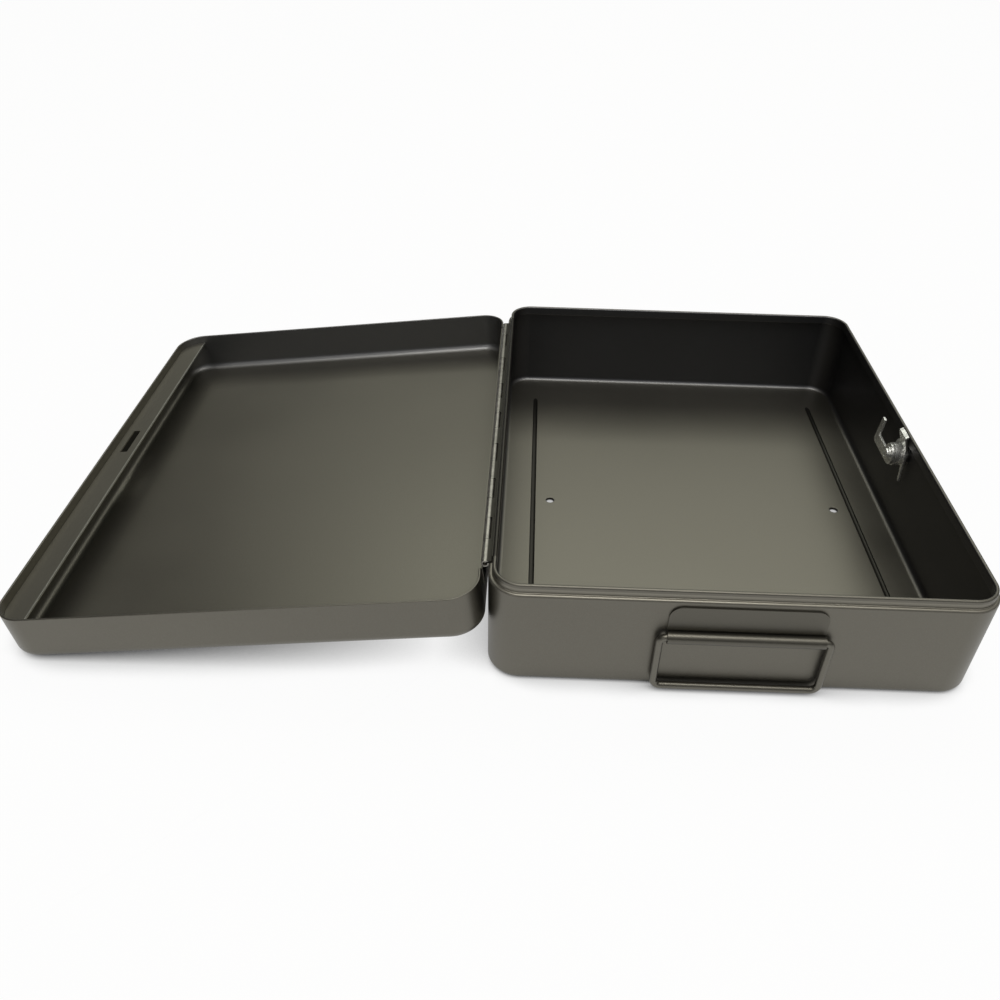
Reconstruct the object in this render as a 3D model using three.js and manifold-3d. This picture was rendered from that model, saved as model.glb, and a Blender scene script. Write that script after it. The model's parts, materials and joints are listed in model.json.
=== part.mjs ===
// Steel document strongbox, shown open: a deep-drawn case, a drawn lid on a long knuckled hinge,
// a wire bail handle in a rolled plate, and a small cam lock whose finger catches the lid.
// Millimetres, +Z up, +X towards the lock side, -Y towards the handle side.
// The origin is the middle of the case's underside.
import * as THREE from "three";
import { mergeVertices } from "three/addons/utils/BufferGeometryUtils.js";
import Module from "manifold-3d";

const wasm = await Module();
wasm.setup();

// Case
const caseWidth = 250;
const caseDepth = 318;
const caseCornerRadius = 17;
const caseSheet = 1.2;
const floorSheet = 1.6;
const baseEdgeRadius = 4;
const floorFilletRadius = 3.4;
const shelfHeight = 58.3;
const shelfEdgeRadius = 0.8;
const neckInset = 2;
const neckRootRadius = 0.4;
const neckHeight = 4.7;
const hemThickness = 2.2;
const hemEdgeRadius = 0.5;
const hemLift = 0.2;

// Case floor
const floorHoleRadius = 2.5;
const floorHoleInset = 33;
const floorHoleY = -3;
const grooveInset = 22;
const grooveWidth = 2.8;
const grooveEndInset = 29;
const grooveCoinDepth = 1.1;

// Lid, in its closed place
const lidDepth = 28;
const lidSheet = 1.2;
const lidEdgeRadius = 6;
const lidRimChamfer = 0.3;
const lidSeatGap = 0.1;
const lidRestGap = 0.05;
const lidNotchGap = 0.4;

// Hinge
const barrelRadius = 2;
const leafSheet = 0.6;
const leafGap = 0.05;
const leafLength = 270;
const knuckleCount = 15;
const knuckleGap = 0.3;
const pinRadius = 1;
const pinClearance = 0.12;
const pinRecess = 1.5;
const caseLeafBend = 0.3;
const caseLeafRise = 3.9;
const caseLeafRunGap = 0.15;
const lidLeafHeight = 10.6;
const notchEndGap = 1;

// Lid lock strip, in its closed place
const stripSheet = 1;
const stripWidth = 14.5;
const stripRimGap = 0.4;
const stripWallGap = 0.1;
const stripFlange = 12;
const stripFlangeEndInset = 20;
const slotInnerRoom = 0.5;
const slotOuterRoom = 2.9;
const slotStart = 6.7;
const slotLength = 25.5;

// Handle plate and bail
const handleMiddleX = 2.1;
const plateSheet = 1;
const plateHalfWidth = 38.6;
const plateTopDrop = 3.3;
const plateHeight = 17.7;
const plateCornerRadius = 6.5;
const plateGap = 0.05;
const wireRadius = 1.9;
const curlClearance = 0.3;
const curlSweepDegrees = 300;
const bailBarHeight = 3.5;
const bailArmOffset = 3.4;
const bailFootRadius = 4;
const bailEndGap = 1.2;

// Lock
const lockY = -3;
const lockDrop = 12.3;
const flangeRadius = 9;
const flangeThickness = 1.6;
const flangeChamfer = 0.5;
const flangeGap = 0.05;
const housingRadius = 7;
const housingReach = 8.4;
const housingHoleClearance = 0.3;
const clipSheet = 1;
const clipStandOff = 2.8;
const clipAxialGap = 0.1;
const clipGrooveDepth = 1;
const clipBoreGap = 0.2;
const clipRingWidth = 3.2;
const clipLegDrop = 13;
const clipLegFlare = 1.4;
const clipLegTipWidth = 1.4;
const clipTabHalfWidth = 5.7;
const clipTabShift = 2.4;
const clipTabRootRise = 7.3;
const clipTabTopRise = 14.5;
const clipTabLean = 2.6;
const clipTabTipRun = 1.8;
const clipTabTipRise = 1.2;
const plugRadius = 5;
const plugGap = 0.2;
const plugShoulderGap = 0.2;
const stubHalf = 2.9;
const stubGap = 0.15;
const keywayWidth = 1.6;
const keywayHeight = 6;
const keywayDepth = 7.4;
const stackGap = 0.1;
const camSheet = 1.5;
const camHubRadius = 6.5;
const camArmReach = 26.5;
const camArmTop = 0.5;
const camElbowRadius = 3;
const fingerRootReach = 20.7;
const fingerTipInner = 19.1;
const fingerTipOuter = 23.1;
const fingerTipRise = 12.2;
const washerSheet = 0.8;
const washerRadius = 4.6;
const screwHeadRadius = 3.4;
const screwHeadHeight = 1.3;
const screwHeadChamfer = 0.5;
const screwRadius = 1.8;
const screwGap = 0.2;
const screwDepth = 3.5;
const screwEndGap = 0.3;
const recessWidth = 0.8;
const recessLength = 3.8;
const recessDepth = 0.7;

// Wafers and springs in the plug
const waferCount = 5;
const waferSheet = 0.7;
const waferGap = 0.1;
const waferPitch = 1.35;
const firstWaferInset = 3.6;
const waferHalfWidth = 2.2;
const waferHalfHeight = 4.3;
const waferSideGap = 0.15;
const waferBar = 1.1;
const waferLug = 1.1;
const waferLugLow = 0.4;
const waferLugHigh = 0.8;
const springRadius = 0.38;
const springLength = 2.6;
const springGap = 0.15;

// Working values
const overrun = 2;
const cornerSteps = 8;
const bendSteps = 4;
const roundSides = 28;
const smallSides = 16;
const wireSides = 10;
const quarterTurn = Math.PI / 2;

// Places that follow from the sizes
const halfWidth = caseWidth / 2;
const halfDepth = caseDepth / 2;
const rimHeight = shelfHeight + neckHeight;
const wallInner = halfWidth - caseSheet;
const neckOuterX = halfWidth - neckInset;
const neckInnerX = neckOuterX - hemThickness;
const hingeX = -halfWidth - barrelRadius - leafGap;
const caseLeafLow = shelfHeight + lidSeatGap;
const hingeZ = caseLeafLow + leafSheet - barrelRadius;
const lidRimZ = shelfHeight + lidSeatGap;
const lidTopZ = lidRimZ + lidDepth;
const lidRoofZ = lidTopZ - lidSheet;
const notchTopZ = hingeZ + barrelRadius + lidNotchGap;
const plateTopZ = shelfHeight - plateTopDrop;
const curlAxisZ = plateTopZ - plateHeight;
const lockZ = shelfHeight - lockDrop;
const housingInnerEnd = halfWidth - housingReach;
const clipPlaneX = wallInner - clipStandOff;
const plugFaceX = halfWidth + flangeGap + flangeThickness;
const plugShoulderX = housingInnerEnd - plugShoulderGap;
const firstWaferX = plugShoulderX + firstWaferInset;
const camOuterX = plugShoulderX - plugShoulderGap;
const camInnerX = camOuterX - camSheet;
const washerOuterX = camInnerX - stackGap;
const washerInnerX = washerOuterX - washerSheet;
const screwHeadOuterX = washerInnerX - stackGap;

// The open lid leans until its far rounded edge all but touches the ground that the case stands on.
const lidFarReach = halfWidth - lidEdgeRadius - hingeX;
const lidEdgeRise = lidTopZ - lidEdgeRadius - hingeZ;
const lidDropRoom = hingeZ - lidEdgeRadius - lidRestGap;
const lidLean =
  Math.asin(lidDropRoom / Math.hypot(lidFarReach, lidEdgeRise)) - Math.atan2(lidEdgeRise, lidFarReach);
const lidOpenAngle = Math.PI + lidLean;

// Solids

function solidOf(geometry) {
  const bare = geometry.clone();
  bare.deleteAttribute("normal");
  bare.deleteAttribute("uv");
  const merged = mergeVertices(bare);
  const build = (triVerts) =>
    new wasm.Manifold(
      new wasm.Mesh({ numProp: 3, vertProperties: merged.attributes.position.array, triVerts }),
    );
  const triVerts = new Uint32Array(merged.index.array);
  const solid = build(triVerts);
  return solid.volume() < 0 ? build(triVerts.reverse()) : solid;
}

function geometryOf(solid) {
  const mesh = solid.getMesh();
  return new THREE.BufferGeometry()
    .setAttribute("position", new THREE.BufferAttribute(mesh.vertProperties, mesh.numProp))
    .setIndex(new THREE.BufferAttribute(mesh.triVerts, 1));
}

function joined(solids) {
  return solids.reduce((sum, solid) => sum.add(solid));
}

// A closed skin over rings of equal point counts, with a fan over the first and the last ring.
function loft(rings) {
  const count = rings[0].length;
  const middle = (ring) =>
    ring.reduce((sum, point) => sum.add(point), new THREE.Vector3()).divideScalar(count);
  const last = (rings.length - 1) * count;
  const firstMiddle = rings.length * count;
  const lastMiddle = firstMiddle + 1;
  const index = [];
  for (let side = 0; side < count; side++) {
    const next = (side + 1) % count;
    for (let start = 0; start < last; start += count) {
      index.push(start + side, start + next, start + count + side);
      index.push(start + next, start + count + next, start + count + side);
    }
    index.push(firstMiddle, next, side);
    index.push(lastMiddle, last + side, last + next);
  }
  const points = [...rings.flat(), middle(rings[0]), middle(rings.at(-1))];
  return solidOf(new THREE.BufferGeometry().setFromPoints(points).setIndex(index));
}

function box(xs, ys, zs) {
  const size = [xs, ys, zs].map(([low, high]) => high - low);
  const centre = [xs, ys, zs].map(([low, high]) => (low + high) / 2);
  return solidOf(new THREE.BoxGeometry(...size).translate(...centre));
}

// A round bar along X, about the lock's axis unless another centre is given.
function barX(radius, [low, high], sides, y = lockY, z = lockZ) {
  const bar = new THREE.CylinderGeometry(radius, radius, high - low, sides);
  return solidOf(bar.rotateZ(-quarterTurn).translate((low + high) / 2, y, z));
}

// A turned piece about the lock's axis, from points of radius and X.
function turnedX(points, sides) {
  const profile = points.map(([radius, x]) => new THREE.Vector2(radius, x));
  const turned = new THREE.LatheGeometry(profile, sides);
  return solidOf(turned.rotateZ(-quarterTurn).translate(0, lockY, lockZ));
}

// A flat outline of across and up, pushed along X or along Y.
function pushedX(shape, [low, high]) {
  const depth = high - low;
  const pushed = new THREE.ExtrudeGeometry(shape, { depth, bevelEnabled: false, curveSegments: smallSides });
  return solidOf(pushed.rotateX(quarterTurn).rotateZ(quarterTurn).translate(low, 0, 0));
}

function pushedY(shape, [low, high]) {
  const depth = high - low;
  const pushed = new THREE.ExtrudeGeometry(shape, { depth, bevelEnabled: false, curveSegments: bendSteps });
  return solidOf(pushed.rotateX(quarterTurn).translate(0, high, 0));
}

function outline(points) {
  return new THREE.Shape(points.map(([across, up]) => new THREE.Vector2(across, up)));
}

// Points of a round stretch in the plane of across and up.
function arc(across, up, radius, fromDegrees, toDegrees, steps = bendSteps) {
  return Array.from({ length: steps + 1 }, (unused, step) => {
    const angle = THREE.MathUtils.degToRad(THREE.MathUtils.lerp(fromDegrees, toDegrees, step / steps));
    return [across + radius * Math.cos(angle), up + radius * Math.sin(angle)];
  });
}

function roundedRing(inset, z) {
  const radius = caseCornerRadius - inset;
  const centreX = halfWidth - caseCornerRadius;
  const centreY = halfDepth - caseCornerRadius;
  const corners = [
    [1, 1],
    [-1, 1],
    [-1, -1],
    [1, -1],
  ];
  const turn = 360 / corners.length;
  return corners.flatMap(([signX, signY], corner) =>
    arc(signX * centreX, signY * centreY, radius, corner * turn, (corner + 1) * turn, cornerSteps).map(
      ([x, y]) => new THREE.Vector3(x, y, z),
    ),
  );
}

// Case

function caseShell() {
  const neckTop = hemThickness / 2;
  const innerShelf = shelfHeight - caseSheet;
  const hemInner = neckInset + hemThickness;
  const profile = [
    ...arc(baseEdgeRadius, baseEdgeRadius, baseEdgeRadius, 270, 180),
    ...arc(shelfEdgeRadius, shelfHeight - shelfEdgeRadius, shelfEdgeRadius, 180, 90),
    ...arc(neckInset - neckRootRadius, shelfHeight + neckRootRadius, neckRootRadius, 270, 360),
    ...arc(neckInset + neckTop, rimHeight - neckTop, neckTop, 180, 0, bendSteps * 2),
    ...arc(hemInner - hemEdgeRadius, innerShelf + hemLift + hemEdgeRadius, hemEdgeRadius, 0, -90),
    ...arc(caseSheet + shelfEdgeRadius, innerShelf - shelfEdgeRadius, shelfEdgeRadius, 90, 180),
    ...arc(caseSheet + floorFilletRadius, floorSheet + floorFilletRadius, floorFilletRadius, 180, 270),
  ];
  const shell = loft(profile.map(([inset, z]) => roundedRing(inset, z)));
  const holes = [-1, 1].map((side) => {
    const length = floorSheet + 2 * overrun;
    const drill = new THREE.CylinderGeometry(floorHoleRadius, floorHoleRadius, length, smallSides);
    const holeX = side * (halfWidth - floorHoleInset);
    return solidOf(drill.rotateX(quarterTurn).translate(holeX, floorHoleY, floorSheet / 2));
  });
  const grooves = [-1, 1].map((side) => {
    const round = grooveWidth / 2;
    const grooveX = side * (halfWidth - grooveInset);
    const straight = halfDepth - grooveEndInset - round;
    const path = new THREE.Shape();
    path.absarc(grooveX, straight, round, 0, Math.PI);
    path.absarc(grooveX, -straight, round, Math.PI, 2 * Math.PI);
    const depth = grooveCoinDepth + overrun;
    const coin = new THREE.ExtrudeGeometry(path, { depth, bevelEnabled: false, curveSegments: bendSteps });
    return solidOf(coin.translate(0, 0, floorSheet - grooveCoinDepth));
  });
  const lockHoleRadius = housingRadius + housingHoleClearance;
  const lockHole = barX(lockHoleRadius, [wallInner - overrun, halfWidth + overrun], roundSides);
  return shell.subtract(joined([...holes, ...grooves, lockHole]));
}

// Lid, modelled closed

function lidShell() {
  const inner = lidEdgeRadius - lidSheet;
  const profile = [
    ...arc(lidEdgeRadius, lidTopZ - lidEdgeRadius, lidEdgeRadius, 90, 180),
    [0, lidRimZ + lidRimChamfer],
    [lidRimChamfer, lidRimZ],
    [lidSheet - lidRimChamfer, lidRimZ],
    [lidSheet, lidRimZ + lidRimChamfer],
    ...arc(lidSheet + inner, lidRoofZ - inner, inner, 180, 90),
  ];
  const shell = loft(profile.map(([inset, z]) => roundedRing(inset, z)));
  const notchHalf = leafLength / 2 + notchEndGap;
  const notch = box(
    [-halfWidth - overrun, -halfWidth + lidSheet + overrun],
    [-notchHalf, notchHalf],
    [lidRimZ - overrun, notchTopZ],
  );
  return shell.subtract(notch);
}

// A flat ledge just above the case's rim, with a flange up the lid's wall.
function lidLockStrip() {
  const inset = lidSheet + stripWallGap;
  const far = halfWidth - inset;
  const low = rimHeight + stripRimGap;
  const high = low + stripSheet;
  const span = [-halfDepth, halfDepth];
  const ledge = box([far - stripWidth, far], span, [low, high]);
  const trim = loft([roundedRing(inset, low - overrun), roundedRing(inset, high + overrun)]);
  const flangeEnd = halfDepth - stripFlangeEndInset;
  const flange = box([far - stripSheet, far], [-flangeEnd, flangeEnd], [low, low + stripFlange]);
  const slot = box(
    [camInnerX - slotInnerRoom, camOuterX + slotOuterRoom],
    [lockY + slotStart, lockY + slotStart + slotLength],
    [low - overrun, high + overrun],
  );
  return ledge.intersect(trim).add(flange).subtract(slot);
}

// Hinge: the case has the odd knuckles and both ends, the lid has those between

function knuckleSpans(first) {
  const pitch = leafLength / knuckleCount;
  const spans = [];
  for (let knuckle = first; knuckle < knuckleCount; knuckle += 2) {
    const start = -leafLength / 2 + knuckle * pitch;
    spans.push([start + knuckleGap / 2, start + pitch - knuckleGap / 2]);
  }
  return spans;
}

function knuckle(span, tongue) {
  const ring = new THREE.Shape();
  ring.absarc(hingeX, hingeZ, barrelRadius, 0, 2 * Math.PI);
  const bore = new THREE.Path();
  bore.absarc(hingeX, hingeZ, pinRadius + pinClearance, 0, 2 * Math.PI);
  const reach = barrelRadius - leafSheet / 2;
  const sheet = box(tongue.xs, span, tongue.zs);
  const drill = new THREE.CylinderGeometry(reach, reach, leafLength, smallSides);
  const core = solidOf(drill.translate(hingeX, 0, hingeZ));
  ring.holes.push(bore);
  const depth = span[1] - span[0];
  const tube = new THREE.ExtrudeGeometry(ring, { depth, bevelEnabled: false, curveSegments: smallSides / 2 });
  return solidOf(tube.rotateX(quarterTurn).translate(0, span[1], 0)).add(sheet.subtract(core));
}

function hingeLeafCase() {
  const faceX = -neckOuterX - leafGap;
  const bendX = faceX - caseLeafBend - leafSheet;
  const bendZ = caseLeafLow + caseLeafBend + leafSheet;
  const top = caseLeafLow + caseLeafRise;
  const runStart = hingeX + barrelRadius + caseLeafRunGap;
  const section = outline([
    [runStart, caseLeafLow],
    ...arc(bendX, bendZ, caseLeafBend + leafSheet, 270, 360),
    [faceX, top],
    [faceX - leafSheet, top],
    ...arc(bendX, bendZ, caseLeafBend, 360, 270),
    [runStart, caseLeafLow + leafSheet],
  ]);
  const strip = pushedY(section, [-leafLength / 2, leafLength / 2]);
  const tongue = { xs: [hingeX, bendX], zs: [caseLeafLow, caseLeafLow + leafSheet] };
  return joined([strip, ...knuckleSpans(0).map((span) => knuckle(span, tongue))]);
}

function hingeLeafLid() {
  const xs = [-halfWidth - leafGap - leafSheet, -halfWidth - leafGap];
  const strip = box(xs, [-leafLength / 2, leafLength / 2], [notchTopZ, notchTopZ + lidLeafHeight]);
  const tongue = { xs, zs: [hingeZ, notchTopZ + leafSheet] };
  return joined([strip, ...knuckleSpans(1).map((span) => knuckle(span, tongue))]);
}

function hingePin() {
  const length = leafLength - 2 * pinRecess;
  const pin = new THREE.CylinderGeometry(pinRadius, pinRadius, length, smallSides);
  return solidOf(pin.translate(hingeX, 0, hingeZ));
}

// Handle

const curlBore = wireRadius + curlClearance;
const curlRadius = curlBore + plateSheet;
const plateBackY = -halfDepth - plateGap;
const curlAxisY = plateBackY - curlRadius;

function handlePlate() {
  const face = new THREE.Shape();
  const cornerX = plateHalfWidth - plateCornerRadius;
  const cornerZ = plateTopZ - plateCornerRadius;
  face.moveTo(-plateHalfWidth, curlAxisZ);
  face.lineTo(plateHalfWidth, curlAxisZ);
  face.absarc(cornerX, cornerZ, plateCornerRadius, 0, quarterTurn);
  face.absarc(-cornerX, cornerZ, plateCornerRadius, quarterTurn, Math.PI);
  const plate = pushedY(face, [plateBackY - plateSheet, plateBackY]);
  const steps = 5 * bendSteps;
  const section = outline([
    ...arc(curlAxisY, curlAxisZ, curlRadius, 0, -curlSweepDegrees, steps),
    ...arc(curlAxisY, curlAxisZ, curlBore, -curlSweepDegrees, 0, steps),
  ]);
  const curl = pushedX(section, [-plateHalfWidth, plateHalfWidth]);
  return plate.add(curl);
}

// The wire's middle line in the plane of across and up, from one end in the curl to the other.
function bailLine() {
  const armX = plateHalfWidth + bailArmOffset;
  const shoulderZ = curlAxisZ - bailArmOffset;
  const footX = armX - bailFootRadius;
  const footZ = bailBarHeight + bailFootRadius;
  const half = [
    [bailEndGap / 2, curlAxisZ],
    ...arc(plateHalfWidth, shoulderZ, bailArmOffset, 90, 0),
    ...arc(footX, footZ, bailFootRadius, 0, -90),
  ];
  const mirrored = half.map(([across, up]) => [-across, up]).reverse();
  return [...half, ...mirrored];
}

function handleBail() {
  const line = bailLine().map(([x, z]) => new THREE.Vector3(x, curlAxisY, z));
  const rings = line.map((point, place) => {
    const before = line[Math.max(place - 1, 0)];
    const after = line[Math.min(place + 1, line.length - 1)];
    const along = after.clone().sub(before).normalize();
    const across = new THREE.Vector3(along.z, 0, -along.x);
    return Array.from({ length: wireSides }, (unused, side) => {
      const angle = (2 * Math.PI * side) / wireSides;
      const depth = new THREE.Vector3(0, wireRadius * Math.sin(angle), 0);
      return point.clone().addScaledVector(across, wireRadius * Math.cos(angle)).add(depth);
    });
  });
  return loft(rings);
}

// Lock

function lockHousing() {
  const flangeBackX = halfWidth + flangeGap;
  const grooveRadius = housingRadius - clipGrooveDepth;
  const grooveLow = clipPlaneX - clipAxialGap;
  const grooveHigh = clipPlaneX + clipSheet + clipAxialGap;
  const bore = plugRadius + plugGap;
  return turnedX(
    [
      [bore, housingInnerEnd],
      [housingRadius, housingInnerEnd],
      [housingRadius, grooveLow],
      [grooveRadius, grooveLow],
      [grooveRadius, grooveHigh],
      [housingRadius, grooveHigh],
      [housingRadius, flangeBackX],
      [flangeRadius, flangeBackX],
      [flangeRadius, plugFaceX - flangeChamfer],
      [flangeRadius - flangeChamfer, plugFaceX],
      [bore, plugFaceX],
      [bore, housingInnerEnd],
    ],
    roundSides,
  );
}

function waferCentre(place) {
  return firstWaferX + place * waferPitch;
}

function lockPlug() {
  const body = barX(plugRadius, [plugShoulderX, plugFaceX], roundSides);
  const stubX = [camInnerX + stackGap, plugShoulderX + plugShoulderGap];
  const stub = box(stubX, [lockY - stubHalf, lockY + stubHalf], [lockZ - stubHalf, lockZ + stubHalf]);
  const drill = barX(screwRadius + screwGap, [camInnerX - overrun, camInnerX + screwDepth], smallSides);
  const keyway = box(
    [plugFaceX - keywayDepth, plugFaceX + overrun],
    [lockY - keywayWidth / 2, lockY + keywayWidth / 2],
    [lockZ - keywayHeight / 2, lockZ + keywayHeight / 2],
  );
  const slots = Array.from({ length: waferCount }, (unused, place) => {
    const half = waferSheet / 2 + waferGap;
    const xs = [waferCentre(place) - half, waferCentre(place) + half];
    const side = waferHalfWidth + waferSideGap;
    const springFloor = waferLugLow + 2 * springGap + springLength;
    const through = box(xs, [lockY - side, lockY + side], [lockZ - 2 * plugRadius, lockZ + 2 * plugRadius]);
    const pocket = box(
      xs,
      [lockY, lockY + side + waferLug],
      [lockZ - springFloor, lockZ + waferLugHigh + springGap],
    );
    return through.add(pocket);
  });
  return body.add(stub).subtract(joined([drill, keyway, ...slots]));
}

function lockWafer(place) {
  const xs = [waferCentre(place) - waferSheet / 2, waferCentre(place) + waferSheet / 2];
  const plate = outline([
    [lockY - waferHalfWidth, lockZ - waferHalfHeight],
    [lockY + waferHalfWidth, lockZ - waferHalfHeight],
    [lockY + waferHalfWidth, lockZ - waferLugLow],
    [lockY + waferHalfWidth + waferLug, lockZ - waferLugLow],
    [lockY + waferHalfWidth + waferLug, lockZ + waferLugHigh],
    [lockY + waferHalfWidth, lockZ + waferLugHigh],
    [lockY + waferHalfWidth, lockZ + waferHalfHeight],
    [lockY - waferHalfWidth, lockZ + waferHalfHeight],
  ]);
  const windowHalfWidth = waferHalfWidth - waferBar;
  const windowHalfHeight = waferHalfHeight - waferBar;
  const window = box(
    [xs[0] - overrun, xs[1] + overrun],
    [lockY - windowHalfWidth, lockY + windowHalfWidth],
    [lockZ - windowHalfHeight, lockZ + windowHalfHeight],
  );
  return pushedX(plate, xs).subtract(window);
}

function lockSpring(place) {
  const top = lockZ - waferLugLow - springGap;
  const spring = new THREE.CylinderGeometry(springRadius, springRadius, springLength, wireSides);
  const y = lockY + waferHalfWidth + waferSideGap + waferLug / 2;
  return solidOf(spring.rotateX(quarterTurn).translate(waferCentre(place), y, top - springLength / 2));
}

// A horseshoe round the housing's groove, with a tab that leans off the wall to clear the hem.
function lockClip() {
  const bore = housingRadius - clipGrooveDepth + clipBoreGap;
  const outer = bore + clipRingWidth;
  const xs = [clipPlaneX, clipPlaneX + clipSheet];
  const legEnd = lockZ - clipLegDrop;
  const legTip = (side) => [
    [lockY + side * (outer + clipLegFlare), legEnd],
    [lockY + side * (outer + clipLegFlare - clipLegTipWidth), legEnd],
  ];
  const horseshoe = outline([
    ...arc(lockY, lockZ, outer, 0, 180, roundSides / 2),
    ...legTip(-1),
    ...arc(lockY, lockZ, bore, 180, 0, smallSides),
    ...legTip(1).reverse(),
  ]);
  const tabRoot = lockZ + clipTabRootRise;
  const tabTop = lockZ + clipTabTopRise;
  const tabMiddle = lockY - clipTabShift;
  const tabSpan = [tabMiddle - clipTabHalfWidth, tabMiddle + clipTabHalfWidth];
  const bridge = box(xs, tabSpan, [lockZ + bore, tabRoot]);
  const tipSlope = clipTabTipRise / clipTabTipRun;
  const tipSheet = clipSheet * Math.hypot(1, tipSlope);
  const tabInner = xs[0] - clipTabLean;
  const leaning = outline([
    [xs[0], tabRoot - clipSheet],
    [xs[1], tabRoot - clipSheet],
    [xs[1], tabRoot],
    [tabInner + clipSheet, tabTop + clipSheet * tipSlope],
    [tabInner + clipTabTipRun, tabTop + clipTabTipRise],
    [tabInner + clipTabTipRun, tabTop + clipTabTipRise + tipSheet],
    [tabInner, tabTop + tipSheet],
    [tabInner, tabTop],
    [xs[0], tabRoot],
  ]);
  return joined([pushedX(horseshoe, xs), bridge, pushedY(leaning, tabSpan)]);
}

function lockCam() {
  const xs = [camInnerX, camOuterX];
  const armEnd = lockY + camArmReach;
  const armLow = lockZ - camHubRadius;
  const arm = outline([
    [lockY, armLow],
    ...arc(armEnd - camElbowRadius, armLow + camElbowRadius, camElbowRadius, 270, 360),
    [lockY + fingerTipOuter, lockZ + fingerTipRise],
    [lockY + fingerTipInner, lockZ + fingerTipRise],
    [lockY + fingerRootReach, lockZ + camArmTop],
    [lockY, lockZ + camArmTop],
  ]);
  const hub = barX(camHubRadius, xs, roundSides);
  const hole = stubHalf + stubGap;
  const square = box(
    [xs[0] - overrun, xs[1] + overrun],
    [lockY - hole, lockY + hole],
    [lockZ - hole, lockZ + hole],
  );
  return hub.add(pushedX(arm, xs)).subtract(square);
}

function lockWasher() {
  const hole = screwRadius + screwGap;
  return turnedX(
    [
      [hole, washerInnerX],
      [washerRadius, washerInnerX],
      [washerRadius, washerOuterX],
      [hole, washerOuterX],
      [hole, washerInnerX],
    ],
    roundSides,
  );
}

function lockCamScrew() {
  const headX = screwHeadOuterX - screwHeadHeight;
  const body = turnedX(
    [
      [0, headX],
      [screwHeadRadius - screwHeadChamfer, headX],
      [screwHeadRadius, headX + screwHeadChamfer],
      [screwHeadRadius, screwHeadOuterX],
      [screwRadius, screwHeadOuterX],
      [screwRadius, camInnerX + screwDepth - screwEndGap],
      [0, camInnerX + screwDepth - screwEndGap],
    ],
    roundSides,
  );
  const xs = [headX - overrun, headX + recessDepth];
  const wide = [lockY - recessLength / 2, lockY + recessLength / 2];
  const narrow = [lockZ - recessWidth / 2, lockZ + recessWidth / 2];
  const tall = [lockZ - recessLength / 2, lockZ + recessLength / 2];
  const thin = [lockY - recessWidth / 2, lockY + recessWidth / 2];
  return body.subtract(box(xs, wide, narrow)).subtract(box(xs, thin, tall));
}

// Finishes

const finishes = {
  paint: new THREE.MeshStandardMaterial({ color: 0x6a655e, roughness: 0.45, metalness: 0.4 }),
  barrel: new THREE.MeshStandardMaterial({ color: 0x8c887e, roughness: 0.4, metalness: 0.7 }),
  zinc: new THREE.MeshStandardMaterial({ color: 0xc4c5c2, roughness: 0.3, metalness: 0.9 }),
  brass: new THREE.MeshStandardMaterial({ color: 0xb59a5b, roughness: 0.35, metalness: 0.9 }),
};

function piece(name, solid, finish) {
  const mesh = new THREE.Mesh(geometryOf(solid), finishes[finish].clone());
  mesh.name = name;
  return mesh;
}

// The handle sits a little off the middle of its wall, towards the lock side.
function besideMiddle(mesh) {
  mesh.position.x = handleMiddleX;
  return mesh;
}

function caseGroup() {
  return new THREE.Group().add(
    piece("case_shell", caseShell(), "paint"),
    piece("hinge_leaf_case", hingeLeafCase(), "barrel"),
    piece("hinge_pin", hingePin(), "barrel"),
    besideMiddle(piece("handle_plate", handlePlate(), "paint")),
    piece("lock_housing", lockHousing(), "zinc"),
    piece("lock_clip", lockClip(), "zinc"),
  );
}

// The lid's pieces are modelled closed, then turned about the hinge pin to lie open.
function lidGroup() {
  const pieces = [
    piece("lid_shell", lidShell(), "paint"),
    piece("lid_lock_strip", lidLockStrip(), "paint"),
    piece("hinge_leaf_lid", hingeLeafLid(), "barrel"),
  ];
  pieces.forEach((mesh) => mesh.position.set(-hingeX, 0, -hingeZ));
  const turned = new THREE.Group().add(...pieces);
  turned.position.set(hingeX, 0, hingeZ);
  turned.rotation.y = -lidOpenAngle;
  return turned;
}

function lockCoreGroup() {
  const core = new THREE.Group().add(
    piece("lock_plug", lockPlug(), "zinc"),
    piece("lock_cam", lockCam(), "zinc"),
    piece("lock_washer", lockWasher(), "zinc"),
    piece("lock_cam_screw", lockCamScrew(), "zinc"),
  );
  for (let place = 0; place < waferCount; place++) {
    core.add(piece(`lock_wafer_${place + 1}`, lockWafer(place), "brass"));
    core.add(piece(`lock_spring_${place + 1}`, lockSpring(place), "zinc"));
  }
  return core;
}

const strongbox = new THREE.Group().add(
  caseGroup(),
  lidGroup(),
  besideMiddle(piece("handle_bail", handleBail(), "paint")),
  lockCoreGroup(),
);

export default strongbox;
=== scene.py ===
# Looks of a steel document strongbox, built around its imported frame.
# Metres, +Z up, +X towards the lock side, -Y towards the handle side.
import json
import math

import bmesh
import bpy
from mathutils import Matrix, Vector


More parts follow.
